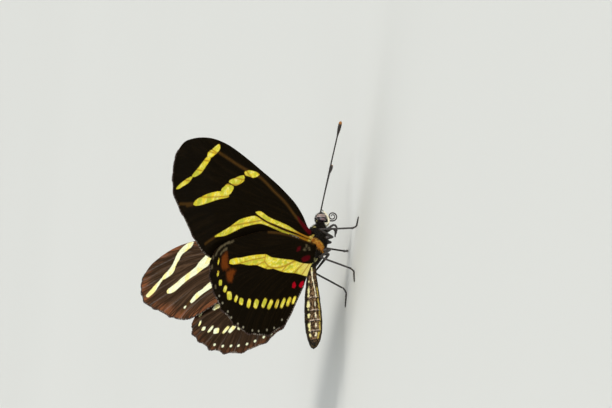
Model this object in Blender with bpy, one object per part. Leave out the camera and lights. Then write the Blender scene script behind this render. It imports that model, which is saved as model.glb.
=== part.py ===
# A zebra longwing butterfly, life size, standing on four feet with its wings raised in a V.
# Metres, +Z up: the head faces -Y and the animal's left side is +X. The feet stand at Z = 0.
# The sizes below are millimetres, measured from the middle of the body at the level of the
# forewings' hinges: x to the left, y to the rear, z up. A wing's own sizes run along its span
# from the hinge out, and along its chord towards the front edge.

import math

import bmesh
import bpy
from mathutils import Vector
from mathutils.geometry import delaunay_2d_cdt

MM = 0.001
GAP = 0.3
STANCE = 8.3  # height of the forewings' hinges above the ground
SIDES = {"left": 1, "right": -1}

# Body, each section as (y, z, half width, half height)
THORAX_SECTIONS = [
    (-3.3, -2.00, 0.75, 0.85),
    (-2.8, -1.82, 1.25, 1.38),
    (-1.8, -1.48, 1.75, 1.95),
    (-0.3, -1.18, 2.06, 2.27),
    (1.3, -1.05, 2.05, 2.28),
    (2.9, -0.95, 1.75, 1.95),
    (4.1, -0.85, 1.30, 1.40),
    (4.9, -0.78, 0.90, 0.95),
]
ABDOMEN_SECTIONS = [
    (5.2, -0.76, 0.80, 0.82),
    (7.6, -0.88, 0.95, 1.00),
    (10.5, -1.08, 1.28, 1.36),
    (13.3, -1.32, 1.52, 1.60),
    (16.1, -1.58, 1.62, 1.70),
    (18.3, -1.76, 1.48, 1.55),
    (19.8, -1.85, 1.19, 1.23),
    (20.8, -1.85, 0.83, 0.86),
    (21.5, -1.80, 0.40, 0.42),
]
BODY_SIDES = 20
THORAX_STEP = 0.9
ABDOMEN_STEP = 0.75

# Head
HEAD_MIDDLE = Vector((0.0, -4.50, -2.10))
HEAD_HALVES = Vector((1.15, 1.08, 1.18))
EYE_MIDDLE = Vector((0.70, -4.48, -2.08))
EYE_HALVES = Vector((0.85, 0.88, 1.02))
EYE_FLAT = 0.80  # x of the eye's flat inner side
ANTENNA_ROOT = Vector((0.38, -0.95, 0.30))  # direction from the middle of the head
ANTENNA_LEAN = Vector((0.60, -0.80, 0.0))
ANTENNA_DIPS = {"left": -0.155, "right": -0.100}  # the left one is held a little lower
ANTENNA_LENGTH = 18.3
ANTENNA_DROOP = 0.3
SHAFT_RADIUS = 0.25
CLUB_RADIUS = 0.40
CLUB_LENGTH = 3.0
PALP_X = 0.74
PALP_TIP_X = 0.50
PALP_RADIUS = 0.25
PALP_START = -112.0
PALP_END = 8.0
COIL_MIDDLE = Vector((0.0, -5.20, -4.20))
COIL_RADIUS = 0.90
COIL_PITCH = 0.55
COIL_TURNS = 1.10
COIL_TUBE = 0.20
COIL_SIDES = 16  # straight lengths in one turn
ANTENNA_SHARES = (0.0, 0.2, 0.4, 0.6, 0.76, 0.84, 0.90, 0.95, 0.985, 1.0)
ANTENNA_TIP_RADIUS = 0.12
PALP_LENGTHS = 8
PALP_CLEAR = 0.05  # added to the gap between palp and head
PALP_TAPER_START = 0.6
PALP_TIP_SHARE = 0.55  # of the palp's radius at its tip

# Forewing and hindwing
WING_THICKNESS = 0.50
RIDGE_HEIGHT = 0.14
RIDGE_HALF = 0.40
WING_SPACING = 1.10  # between the middles of the two wings where they overlap
WING_BOW = 0.55
BOW_MIDDLE = -2.0
BOW_HALF = 9.0
BOW_SPAN = 20.0
FOREWING_FLEX = (1.50, 0.9, 27.3, 17.0)  # size, lean, start and reach of the outer part's bend
HINDWING_FLEX = (1.55, 1.1, 13.2, 23.3)
MIDLINE_ROOM = 0.62
SPACING_SOFTNESS = 0.3
MIDLINE_SOFTNESS = 0.6
NORMAL_STEP = 0.05
OUTLINE_STEP = 1.5
VEIN_STEP = 2.0
VEIN_MERGE = 0.5
FILL_STEP = 3.6

FOREWING_HINGE = Vector((2.3, 0.0, 0.0))
FOREWING_SPAN = Vector((0.711, -0.025, 0.703))
FOREWING_CHORD = Vector((0.257, -0.921, -0.292))
HINDWING_HINGE = Vector((2.3, 3.0, 0.0))
HINDWING_SPAN = Vector((0.427, 0.493, 0.758))
HINDWING_CHORD = Vector((0.549, -0.807, 0.216))

FOREWING_FRONT = [
    (-1.2, 0.6), (1.4, 1.2), (3.8, 2.7), (6.6, 4.0), (9.7, 4.9), (13.8, 5.8), (18.2, 6.5),
    (23.8, 7.3), (29.1, 7.8), (33.1, 7.6), (36.3, 6.8), (39.2, 5.5), (41.1, 4.1), (42.0, 1.7),
]
FOREWING_BACK = [
    (41.6, -0.6), (40.4, -3.3), (38.4, -5.9), (34.3, -8.4), (31.0, -10.4), (27.6, -11.9),
    (24.8, -12.5), (20.6, -11.9), (11.9, -8.3), (5.0, -4.0), (0.6, -1.9), (-1.2, -1.5),
]
FOREWING_VEINS = {
    "subcosta": [(0.4, 0.4), (8.0, 2.8), (15.0, 4.6), (21.0, 6.3)],
    "radius": [(0.2, 0.1), (8.0, 1.7), (15.0, 3.0), (20.3, 4.0), (25.6, 4.9), (30.9, 5.4), (37.2, 6.2)],
    "radius_one": [(17.6, 3.6), (22.7, 5.3), (28.2, 7.6)],
    "radius_two": [(22.2, 4.4), (27.5, 6.0), (32.6, 7.5)],
    "radius_four": [(30.9, 5.4), (36.0, 4.6), (41.3, 3.6)],
    "radius_five": [(25.6, 4.9), (33.5, 3.2), (41.9, 1.4)],
    "media_one": [(22.2, 3.4), (30.4, 1.8), (41.5, -0.5)],
    "media_two": [(22.6, 2.2), (30.6, -0.4), (40.7, -2.7)],
    "media_three": [(21.4, 0.5), (29.3, -2.7), (39.0, -5.2)],
    "cubitus_one": [(19.2, -0.8), (26.8, -4.5), (35.6, -7.5)],
    "cubitus_two": [(13.3, -1.5), (21.3, -5.8), (30.6, -10.5)],
    "cubitus": [
        (0.2, -0.4), (7.0, -1.2), (13.3, -1.5), (19.2, -0.8), (21.4, 0.5), (22.6, 2.2), (22.2, 3.4),
        (20.3, 4.0),
    ],
    "anal": [(0.2, -1.0), (9.0, -4.2), (16.8, -8.8), (24.5, -12.3)],
}

HINDWING_FRONT = [
    (-1.7, 0.8), (0.6, 2.1), (5.2, 4.7), (9.0, 6.3), (12.7, 7.1), (16.7, 7.3), (20.6, 7.4),
    (24.0, 6.8), (26.2, 5.1),
]
HINDWING_TEETH = [
    (26.2, 5.1), (26.7, 2.4), (26.0, -0.9), (24.6, -4.8), (22.2, -8.2), (18.8, -11.0),
    (13.6, -12.7), (9.3, -12.3),
]
HINDWING_BACK = [
    (9.3, -12.3), (6.7, -10.5), (4.2, -7.9), (2.2, -5.6), (0.8, -3.6), (-0.4, -2.3), (-1.7, -1.6),
]
SCALLOP = 0.25
HINDWING_VEINS = {
    "subcosta": [(0.2, 1.5), (5.9, 3.6), (12.9, 5.4), (20.0, 6.9)],
    "radius": [(0.2, 0.9), (5.9, 1.6), (11.2, 2.5), (17.9, 4.2), (26.1, 5.0)],
    "media_one": [(11.5, 1.8), (17.9, 2.4), (26.6, 2.3)],
    "media_two": [(11.7, 1.0), (17.9, 0.4), (23.0, -0.7), (25.9, -0.9)],
    "media_three": [(10.9, -0.1), (16.0, -1.7), (21.0, -3.4), (24.5, -4.8)],
    "cubitus_one": [(9.5, -0.8), (14.0, -3.0), (18.3, -5.1), (22.1, -8.2)],
    "cubitus_two": [(6.2, -1.1), (10.4, -3.6), (14.3, -6.5), (18.7, -10.9)],
    "cubitus": [
        (0.2, -0.2), (6.2, -1.1), (9.5, -0.8), (10.9, -0.1), (11.7, 1.0), (11.5, 1.8), (11.2, 2.5),
    ],
    "anal_one": [(0.2, -1.0), (5.0, -3.3), (9.6, -7.1), (13.5, -12.6)],
    "anal_two": [(0.4, -2.0), (3.6, -4.6), (6.3, -7.8), (9.3, -12.1)],
}

# Legs, each point as (x, y, z); heights near the ground are given above it
THIGH_RADIUS = 0.35
SHIN_RADIUS = 0.28
FOOT_RADIUS = 0.27
TOE_RADIUS = 0.21
HIP_RADIUS = 0.32
KNEE_RADIUS = 0.26
ANKLE_RADIUS = 0.25
THIGH_STEP = 1.1
SHIN_STEP = 1.6
FOOT_STEP = 0.8
SOLE_HEIGHT = 0.20  # of the foot's axis above the ground
LEGS = {
    "midleg": {
        "root_y": -0.5, "root_angle": 26.0, "knee": (4.0, -0.6, -1.9),
        "ankle": (6.2, -0.8, 1.1), "heel": (6.9, -1.1), "toe": (8.9, -2.0),
    },
    "hindleg": {
        "root_y": 2.0, "root_angle": 26.0, "knee": (3.8, 4.3, -2.1),
        "ankle": (5.5, 6.9, 1.1), "heel": (6.0, 7.8), "toe": (7.0, 10.1),
    },
}
HIP_LENGTH = 0.9
KNEE_LENGTH = 0.45
FORELEG_ROOT_Y = -2.3
FORELEG_ANGLE = 24.0
FORELEG_PATH = [(1.00, -3.1, -4.35), (1.02, -2.7, -4.95), (0.95, -1.5, -5.0)]
FORELEG_RADIUS = 0.27
FORELEG_TIP_RADIUS = 0.16
FORELEG_STEP = 0.6
GROUND_SIZE = Vector((60.0, 60.0, 4.0))

COLOURS = {
    "wing_scales": ((0.020, 0.013, 0.008), 0.60),
    "body_hair": ((0.030, 0.022, 0.015), 0.80),
    "palp_hair": ((0.75, 0.68, 0.50), 0.80),
    "eye": ((0.22, 0.16, 0.15), 0.25),
    "leg_cuticle": ((0.025, 0.018, 0.014), 0.50),
    "antenna_cuticle": ((0.030, 0.018, 0.012), 0.50),
}


def clear_scene():
    for old in list(bpy.data.objects):
        bpy.data.objects.remove(old, do_unlink=True)


def make_collection(name):
    group = bpy.data.collections.new(name)
    bpy.context.scene.collection.children.link(group)
    return group


def make_materials():
    made = {}
    for name, (colour, roughness) in COLOURS.items():
        material = bpy.data.materials.new(name)
        material.use_nodes = True
        shader = material.node_tree.nodes["Principled BSDF"]
        shader.inputs["Base Color"].default_value = (*colour, 1.0)
        shader.inputs["Roughness"].default_value = roughness
        shader.inputs["Metallic"].default_value = 0.0
        made[name] = material
    return made


def add_part(name, data, material, location=(0.0, 0.0, 0.0)):
    part = bpy.data.objects.new(name, data)
    parts.objects.link(part)
    part.parent = stand_point
    part.location = Vector(location) * MM
    data.materials.append(materials[material])
    return part


def add_cutter(name, bm, location=(0.0, 0.0, 0.0)):
    mesh = bpy.data.meshes.new(name)
    bm.to_mesh(mesh)
    bm.free()
    cutter = bpy.data.objects.new(name, mesh)
    cutters.objects.link(cutter)
    cutter.parent = stand_point
    cutter.location = Vector(location) * MM
    cutter.hide_render = True
    cutter.display_type = "WIRE"
    return cutter


def smooth(points, step, closed=False):
    # Points about a step apart on a Catmull-Rom curve through the given ones.
    count = len(points)
    spans = count if closed else count - 1
    found = []
    for i in range(spans):
        first = Vector(points[i])
        second = Vector(points[(i + 1) % count])
        before = Vector(points[i - 1]) if closed or i else first * 2 - second
        after = Vector(points[(i + 2) % count]) if closed or i + 2 < count else second * 2 - first
        steps = max(1, round((second - first).length / step))
        for k in range(steps):
            t = k / steps
            bend = (before * 2 - first * 5 + second * 4 - after) * t ** 2
            twist = (first * 3 - before - second * 3 + after) * t ** 3
            found.append((first * 2 + (second - before) * t + bend + twist) / 2)
    if not closed:
        found.append(Vector(points[-1]))
    return found


def smooth_max(value, limit, softness):
    return (value + limit + math.hypot(value - limit, softness)) / 2


def mesh_from(name, bm):
    bmesh.ops.recalc_face_normals(bm, faces=bm.faces)
    mesh = bpy.data.meshes.new(name)
    bm.to_mesh(mesh)
    bm.free()
    mesh.shade_smooth()
    return mesh


def loft(sections, step, grow=0.0):
    # A closed body through elliptical sections; grow makes it larger all round.
    bm = bmesh.new()
    rings = []
    samples = smooth([Vector(s) for s in sections], step)
    samples[0].x -= grow
    samples[-1].x += grow
    for y, z, half_width, half_height in samples:
        ring = []
        for k in range(BODY_SIDES):
            turn = 2 * math.pi * k / BODY_SIDES
            x = (half_width + grow) * math.sin(turn)
            up = (half_height + grow) * math.cos(turn)
            ring.append(bm.verts.new(Vector((x, y, z + up)) * MM))
        rings.append(ring)
    for front, back in zip(rings, rings[1:]):
        for k in range(BODY_SIDES):
            other = (k + 1) % BODY_SIDES
            bm.faces.new((front[k], front[other], back[other], back[k]))
    bm.faces.new(rings[0])
    bm.faces.new(rings[-1])
    bmesh.ops.recalc_face_normals(bm, faces=bm.faces)
    return bm


def ellipsoid(halves, grow=0.0, around=20, rings=12):
    bm = bmesh.new()
    bmesh.ops.create_uvsphere(bm, u_segments=around, v_segments=rings, radius=1.0)
    bmesh.ops.scale(bm, vec=(halves + Vector((grow, grow, grow))) * MM, verts=bm.verts)
    return bm


def keep_beyond(bm, x, side):
    # Cuts away what lies inside the plane at x, and closes the cut with a flat face.
    everything = list(bm.verts) + list(bm.edges) + list(bm.faces)
    cut = bmesh.ops.bisect_plane(
        bm, geom=everything, plane_co=(x * MM, 0, 0), plane_no=(side, 0, 0), clear_inner=True
    )
    rim = [item for item in cut["geom_cut"] if isinstance(item, bmesh.types.BMEdge)]
    bmesh.ops.contextual_create(bm, geom=rim)
    bmesh.ops.recalc_face_normals(bm, faces=bm.faces)
    return bm


def largest_body(mesh):
    bm = bmesh.new()
    bm.from_mesh(mesh)
    left = set(bm.verts)
    bodies = []
    while left:
        start = left.pop()
        body = {start}
        waiting = [start]
        while waiting:
            for edge in waiting.pop().link_edges:
                for vert in edge.verts:
                    if vert not in body:
                        body.add(vert)
                        waiting.append(vert)
        left -= body
        bodies.append(body)
    bodies.sort(key=len)
    for body in bodies[:-1]:
        bmesh.ops.delete(bm, geom=list(body), context="VERTS")
    bm.to_mesh(mesh)
    bm.free()


def cut(part, *tools):
    # Takes the tools away from the part and keeps its largest body.
    for tool in tools:
        modifier = part.modifiers.new(tool.name, "BOOLEAN")
        modifier.operation = "DIFFERENCE"
        modifier.solver = "EXACT"
        modifier.object = tool
    bpy.context.view_layer.update()
    graph = bpy.context.evaluated_depsgraph_get()
    mesh = bpy.data.meshes.new_from_object(part.evaluated_get(graph))
    part.modifiers.clear()
    part.data = mesh
    largest_body(mesh)
    mesh.shade_smooth()
    return part


def tube(name, path, material, sides=8):
    # A round bar along the path, whose points are (x, y, z, radius).
    curve = bpy.data.curves.new(name, "CURVE")
    curve.dimensions = "3D"
    curve.bevel_depth = MM
    curve.bevel_resolution = (sides - 4) // 2
    curve.use_fill_caps = True
    spline = curve.splines.new("POLY")
    spline.points.add(len(path) - 1)
    for point, (x, y, z, radius) in zip(spline.points, path):
        point.co = (x * MM, y * MM, z * MM, 1.0)
        point.radius = radius
    return add_part(name, curve, material)


def mesh_of_tube(part):
    # Turns a bar into a mesh, so that it can be cut.
    name, location = part.name, part.location.copy()
    graph = bpy.context.evaluated_depsgraph_get()
    mesh = bpy.data.meshes.new_from_object(part.evaluated_get(graph))
    bm = bmesh.new()
    bm.from_mesh(mesh)
    bmesh.ops.remove_doubles(bm, verts=bm.verts, dist=1e-6)
    bmesh.ops.recalc_face_normals(bm, faces=bm.faces)
    bm.to_mesh(mesh)
    bm.free()
    curve = part.data
    bpy.data.objects.remove(part, do_unlink=True)
    bpy.data.curves.remove(curve)
    made = bpy.data.objects.new(name, mesh)
    parts.objects.link(made)
    made.parent = stand_point
    made.location = location
    return made


def point_on_thorax(y, angle, side):
    # A point under the thorax and the way out of it, angle degrees from straight down.
    samples = smooth([Vector(s) for s in THORAX_SECTIONS], NORMAL_STEP)
    section = min(samples, key=lambda sample: abs(sample.x - y))
    turn = math.radians(angle)
    half_width, half_height = section.z, section.w
    place = Vector((
        side * half_width * math.sin(turn), y, section.y - half_height * math.cos(turn)
    ))
    out = Vector((side * math.sin(turn) / half_width, 0.0, -math.cos(turn) / half_height))
    return place, out.normalized()


def point_on_head(direction):
    scale = math.sqrt(sum((d / h) ** 2 for d, h in zip(direction, HEAD_HALVES)))
    out = Vector([d / h ** 2 for d, h in zip(direction, HEAD_HALVES)])
    return HEAD_MIDDLE + direction / scale, out.normalized()


def flexed(p, q, flex):
    # How far the outer, hinder part of a wing is bent outward.
    size, lean, start, reach = flex
    share = min(max((p - lean * q - start) / reach, 0.0), 1.0)
    return size * share * share * (3 - 2 * share)


def forewing_surface(p, q):
    out = FOREWING_SPAN.cross(FOREWING_CHORD).normalized()
    bow = WING_BOW * min(abs(p) / BOW_SPAN, 1.0) * (1 - ((q - BOW_MIDDLE) / BOW_HALF) ** 2)
    lift = flexed(p, q, FOREWING_FLEX) - bow
    return FOREWING_SPAN * p + FOREWING_CHORD * q + out * lift


def hindwing_surface(p, q):
    # Held clear under the forewing and bent up along the abdomen.
    out = FOREWING_SPAN.cross(FOREWING_CHORD).normalized()
    place = HINDWING_SPAN * p + HINDWING_CHORD * q
    reach = place + HINDWING_HINGE - FOREWING_HINGE
    depth = reach.dot(out)
    room = WING_SPACING + flexed(reach.dot(FOREWING_SPAN), reach.dot(FOREWING_CHORD), FOREWING_FLEX)
    place += out * (smooth_max(depth + flexed(p, q, HINDWING_FLEX), room, SPACING_SOFTNESS) - depth)
    x = place.x + HINDWING_HINGE.x
    place.x += smooth_max(x, MIDLINE_ROOM, MIDLINE_SOFTNESS) - x
    return place


def scalloped_edge(teeth, depth):
    # The outer edge through the teeth, drawn in a little between each two.
    middle = sum((Vector(t) for t in teeth), Vector((0.0, 0.0))) / len(teeth)
    edge = []
    for first, second in zip(teeth, teeth[1:]):
        between = (Vector(first) + Vector(second)) / 2
        edge.append(Vector(first))
        edge.append(between + (middle - between).normalized() * depth)
    return edge


def distance_to_line(point, line):
    nearest = 1e9
    for first, second in zip(line, line[1:]):
        run = second - first
        along = max(0.0, min(1.0, (point - first).dot(run) / run.length_squared))
        nearest = min(nearest, (point - first - run * along).length)
    return nearest


def inside(point, outline):
    found = False
    for first, second in zip(outline, outline[1:] + outline[:1]):
        if (first.y > point.y) != (second.y > point.y):
            across = first.x + (point.y - first.y) / (second.y - first.y) * (second.x - first.x)
            if point.x < across:
                found = not found
    return found


def wing_plan(outline, veins):
    # The wing laid flat: its points, its triangles, and each point's rise on a vein.
    points = list(outline)
    edges = [(i, (i + 1) % len(outline)) for i in range(len(outline))]

    def place_of(point, merge):
        near = min(range(len(points)), key=lambda i: (points[i] - point).length)
        if (points[near] - point).length < merge:
            return near
        points.append(point)
        return len(points) - 1

    lines = []
    for controls in veins.values():
        line = smooth(controls, VEIN_STEP)
        end = min(outline, key=lambda point: (point - line[-1]).length)
        if (end - line[-1]).length < OUTLINE_STEP:
            line[-1] = end
        indices = [place_of(point, VEIN_MERGE) for point in line]
        lines.append([points[i] for i in indices])
        edges += [(a, b) for a, b in zip(indices, indices[1:]) if a != b]
    for line in lines:
        for before, point, after in zip(line, line[1:], line[2:]):
            across = (after - before).normalized()
            for way in (1, -1):
                beside = point + Vector((-across.y, across.x)) * RIDGE_HALF * way
                clear = min(distance_to_line(beside, other) for other in lines)
                edge_room = distance_to_line(beside, outline + outline[:1])
                if clear > RIDGE_HALF * 0.9 and edge_room > RIDGE_HALF and inside(beside, outline):
                    place_of(beside, RIDGE_HALF * 0.8)
    low = Vector((min(p.x for p in outline), min(p.y for p in outline)))
    high = Vector((max(p.x for p in outline), max(p.y for p in outline)))
    for i in range(int((high.x - low.x) / FILL_STEP) + 1):
        for k in range(int((high.y - low.y) / FILL_STEP) + 1):
            fill = low + Vector((i + 0.5 * (k % 2), k)) * FILL_STEP
            clear = min((fill - point).length for point in points)
            if inside(fill, outline) and clear > FILL_STEP * 0.5:
                points.append(fill)
    flat, _, faces, _, _, _ = delaunay_2d_cdt(points, edges, [], 0, 1e-4)
    faces = [face for face in faces if inside(sum((flat[i] for i in face), Vector((0, 0))) / 3, outline)]
    rises = [
        RIDGE_HEIGHT * max(0.0, 1 - min(distance_to_line(point, line) for line in lines) / RIDGE_HALF)
        for point in flat
    ]
    return flat, faces, rises


def wing_mesh(name, surface, outline, veins, side):
    flat, faces, rises = wing_plan(outline, veins)
    bm = bmesh.new()
    under, over = [], []
    for (p, q), rise in zip(flat, rises):
        along = surface(p + NORMAL_STEP, q) - surface(p - NORMAL_STEP, q)
        towards = surface(p, q + NORMAL_STEP) - surface(p, q - NORMAL_STEP)
        out = along.cross(towards).normalized() * (WING_THICKNESS / 2 + rise)
        middle = surface(p, q)
        for layer, place in ((under, middle + out), (over, middle - out)):
            layer.append(bm.verts.new(Vector((place.x * side, place.y, place.z)) * MM))
    rims = {}
    for a, b, c in faces:
        bm.faces.new((under[a], under[b], under[c]))
        bm.faces.new((over[c], over[b], over[a]))
        for first, second in ((a, b), (b, c), (c, a)):
            if (second, first) in rims:
                del rims[(second, first)]
            else:
                rims[(first, second)] = True
    for first, second in rims:
        bm.faces.new((under[second], under[first], over[first], over[second]))
    bmesh.ops.triangulate(bm, faces=bm.faces)
    return mesh_from(name, bm)


def make_thorax():
    return add_part("thorax", mesh_from("thorax", loft(THORAX_SECTIONS, THORAX_STEP)), "body_hair")


def make_abdomen():
    bm = loft(ABDOMEN_SECTIONS, ABDOMEN_STEP)
    return add_part("abdomen", mesh_from("abdomen", bm), "body_hair")


def make_head(thorax_room):
    mesh = mesh_from("head", ellipsoid(HEAD_HALVES))
    head = add_part("head", mesh, "body_hair", HEAD_MIDDLE)
    sockets = []
    for name, side in SIDES.items():
        middle = Vector((side * EYE_MIDDLE.x, EYE_MIDDLE.y, EYE_MIDDLE.z))
        flat = side * (EYE_FLAT - EYE_MIDDLE.x)
        eye = keep_beyond(ellipsoid(EYE_HALVES), flat, side)
        add_part("eye_" + name, mesh_from("eye_" + name, eye), "eye", middle)
        room = keep_beyond(ellipsoid(EYE_HALVES, GAP), flat - side * GAP, side)
        sockets.append(add_cutter("eye_room_" + name, room, middle))
    return cut(head, thorax_room, *sockets)


def make_antennae():
    for name, side in SIDES.items():
        start, _ = point_on_head(Vector((side * ANTENNA_ROOT.x, ANTENNA_ROOT.y, ANTENNA_ROOT.z)))
        lean = Vector((side * ANTENNA_LEAN.x, ANTENNA_LEAN.y, ANTENNA_DIPS[name])).normalized()
        start += lean * (GAP + SHAFT_RADIUS)
        path = []
        for share in ANTENNA_SHARES:
            away = share * ANTENNA_LENGTH
            place = start + lean * away - Vector((0, 0, ANTENNA_DROOP)) * (share ** 2 - share)
            club = max(0.0, 1 - (1 - share) * ANTENNA_LENGTH / CLUB_LENGTH)
            radius = SHAFT_RADIUS + (CLUB_RADIUS - SHAFT_RADIUS) * math.sin(math.pi * min(club, 0.85))
            path.append((*place, radius if share < 1.0 else ANTENNA_TIP_RADIUS))
        tube("antenna_" + name, path, "antenna_cuticle", sides=6)


def make_palps():
    for name, side in SIDES.items():
        away = GAP + PALP_RADIUS + PALP_CLEAR
        path = []
        for k in range(PALP_LENGTHS + 1):
            share = k / PALP_LENGTHS
            taper = max(0.0, share - PALP_TAPER_START) / (1 - PALP_TAPER_START)
            turn = math.radians(PALP_START + (PALP_END - PALP_START) * share)
            reach = HEAD_HALVES + Vector((0, away, away))
            x = side * (PALP_X + (PALP_TIP_X - PALP_X) * share)
            y = HEAD_MIDDLE.y - reach.y * math.cos(turn)
            z = HEAD_MIDDLE.z + reach.z * math.sin(turn)
            path.append((x, y, z, PALP_RADIUS * (1 - (1 - PALP_TIP_SHARE) * taper)))
        tube("palp_" + name, path, "palp_hair", sides=6)


def make_proboscis():
    head_foot, _ = point_on_head(Vector((0.0, COIL_MIDDLE.y + COIL_RADIUS - HEAD_MIDDLE.y, -1.0)))
    path = [(0.0, COIL_MIDDLE.y + COIL_RADIUS, head_foot.z - GAP, COIL_TUBE)]
    steps = round(COIL_TURNS * COIL_SIDES)
    for k in range(steps + 1):
        turn = 2 * math.pi * COIL_TURNS * k / steps
        reach = COIL_RADIUS - COIL_PITCH * COIL_TURNS * k / steps
        y = COIL_MIDDLE.y + reach * math.cos(turn)
        z = COIL_MIDDLE.z - reach * math.sin(turn)
        path.append((0.0, y, z, COIL_TUBE))
    tube("proboscis", path, "leg_cuticle", sides=6)


def make_wings(thorax_room, abdomen_room):
    forewing = smooth(FOREWING_FRONT + FOREWING_BACK, OUTLINE_STEP, closed=True)
    edge = scalloped_edge(HINDWING_TEETH, SCALLOP)
    front = smooth(HINDWING_FRONT, OUTLINE_STEP)[:-1]
    back = smooth(HINDWING_BACK, OUTLINE_STEP)
    hindwing = front + edge + back
    for name, side in SIDES.items():
        mesh = wing_mesh("forewing_" + name, forewing_surface, forewing, FOREWING_VEINS, side)
        place = (side * FOREWING_HINGE.x, FOREWING_HINGE.y, FOREWING_HINGE.z)
        cut(add_part("forewing_" + name, mesh, "wing_scales", place), thorax_room)
        mesh = wing_mesh("hindwing_" + name, hindwing_surface, hindwing, HINDWING_VEINS, side)
        place = (side * HINDWING_HINGE.x, HINDWING_HINGE.y, HINDWING_HINGE.z)
        cut(add_part("hindwing_" + name, mesh, "wing_scales", place), thorax_room, abdomen_room)


def on_side(place, side):
    return Vector((place[0] * side, place[1], place[2]))


def make_leg(kind, sizes, name, side, ground):
    start, out = point_on_thorax(sizes["root_y"], sizes["root_angle"], side)
    start += out * GAP
    hip = start + out * HIP_LENGTH
    knee = on_side(sizes["knee"], side)
    ankle = on_side((*sizes["ankle"][:2], sizes["ankle"][2] - STANCE), side)
    heel = on_side((*sizes["heel"], SOLE_HEIGHT - STANCE), side)
    toe = on_side((*sizes["toe"], SOLE_HEIGHT - STANCE), side)
    thigh = [(*start, HIP_RADIUS), (*hip, THIGH_RADIUS), (*knee, KNEE_RADIUS)]
    thigh = smooth(thigh, THIGH_STEP)
    tube(f"{kind}_{name}_thigh", thigh, "leg_cuticle")
    along = (Vector(thigh[-1][:3]) - Vector(thigh[-2][:3])).normalized()
    down = (ankle - knee).normalized()
    bend = knee + along * (GAP + KNEE_LENGTH) + down * KNEE_LENGTH * 0.5
    shin = [
        (*(knee + along * GAP), KNEE_RADIUS), (*bend, SHIN_RADIUS),
        (*((bend + ankle) / 2), SHIN_RADIUS), (*ankle, ANKLE_RADIUS),
    ]
    tube(f"{kind}_{name}_shin", smooth(shin, SHIN_STEP), "leg_cuticle")
    down = (ankle - bend).normalized()
    foot = [(*(ankle + down * GAP), ANKLE_RADIUS), (*heel, FOOT_RADIUS), (*toe, TOE_RADIUS)]
    bar = mesh_of_tube(tube(f"{kind}_{name}_foot", smooth(foot, FOOT_STEP), "leg_cuticle"))
    cut(bar, ground)


def make_foreleg(name, side):
    start, out = point_on_thorax(FORELEG_ROOT_Y, FORELEG_ANGLE, side)
    start += out * GAP
    points = [(*start, FORELEG_RADIUS)]
    points += [(*on_side(place, side), FORELEG_RADIUS) for place in FORELEG_PATH[:-1]]
    points.append((*on_side(FORELEG_PATH[-1], side), FORELEG_TIP_RADIUS))
    tube("foreleg_" + name, smooth(points, FORELEG_STEP), "leg_cuticle", sides=6)


def make_ground():
    bm = bmesh.new()
    bmesh.ops.create_cube(bm, size=1.0)
    bmesh.ops.scale(bm, vec=GROUND_SIZE * MM, verts=bm.verts)
    return add_cutter("ground_room", bm, (0.0, 0.0, -STANCE - GROUND_SIZE.z / 2))


def stand_at_origin():
    # The middle of the whole butterfly's length comes over the origin.
    bpy.context.view_layer.update()
    graph = bpy.context.evaluated_depsgraph_get()
    reach = []
    for part in parts.objects:
        if part.type == "EMPTY":
            continue
        shape = part.evaluated_get(graph).to_mesh()
        reach += [(part.matrix_world @ vert.co).y for vert in shape.vertices]
    stand_point.location.y = -(min(reach) + max(reach)) / 2


clear_scene()
parts = make_collection("zebra_longwing")
cutters = make_collection("cutters")
stand_point = bpy.data.objects.new("stand_point", None)
parts.objects.link(stand_point)
stand_point.location.z = STANCE * MM
materials = make_materials()

thorax_room = add_cutter("thorax_room", loft(THORAX_SECTIONS, THORAX_STEP, GAP))
abdomen_room = add_cutter("abdomen_room", loft(ABDOMEN_SECTIONS, ABDOMEN_STEP, GAP))
ground = make_ground()
make_thorax()
make_abdomen()
make_head(thorax_room)
make_antennae()
make_palps()
make_proboscis()
make_wings(thorax_room, abdomen_room)
for kind, sizes in LEGS.items():
    for name, side in SIDES.items():
        make_leg(kind, sizes, name, side, ground)
for name, side in SIDES.items():
    make_foreleg(name, side)
stand_at_origin()
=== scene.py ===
import math

import bpy
import numpy as np
from mathutils import Matrix, Vector
from mathutils.geometry import delaunay_2d_cdt


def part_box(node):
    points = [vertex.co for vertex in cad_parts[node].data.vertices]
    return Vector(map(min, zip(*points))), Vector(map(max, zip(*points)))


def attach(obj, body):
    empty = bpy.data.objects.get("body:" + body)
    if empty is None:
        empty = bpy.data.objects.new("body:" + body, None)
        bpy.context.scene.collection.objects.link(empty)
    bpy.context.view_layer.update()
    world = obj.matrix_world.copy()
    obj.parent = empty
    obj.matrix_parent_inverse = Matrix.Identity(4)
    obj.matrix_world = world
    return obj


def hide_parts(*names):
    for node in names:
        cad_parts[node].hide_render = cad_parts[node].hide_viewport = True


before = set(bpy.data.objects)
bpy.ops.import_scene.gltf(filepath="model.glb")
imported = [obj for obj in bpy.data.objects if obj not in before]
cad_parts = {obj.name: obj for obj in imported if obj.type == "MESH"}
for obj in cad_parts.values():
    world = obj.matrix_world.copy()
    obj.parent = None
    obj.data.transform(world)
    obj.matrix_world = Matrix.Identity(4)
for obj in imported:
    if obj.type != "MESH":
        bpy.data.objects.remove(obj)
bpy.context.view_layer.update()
mm = 0.001
dice = np.random.default_rng(7)
sides = {"left": 1, "right": -1}
farOut = -9.0  # signed distance of a point from a mark that is nowhere near

# Sizes below are millimetres from the middle of the body at the level of the forewings' hinges:
# x to the left, y to the rear, z up. standAt takes them to the frame.
body = {"front": -3.3, "hingeHeight": 8.3}  # y of the thorax's front end; hinges above the floor
standAt = np.array([0.0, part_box("thorax")[0].y / mm - body["front"], body["hingeHeight"]])
floorLevel = -body["hingeHeight"]


# Lines and distances

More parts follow.
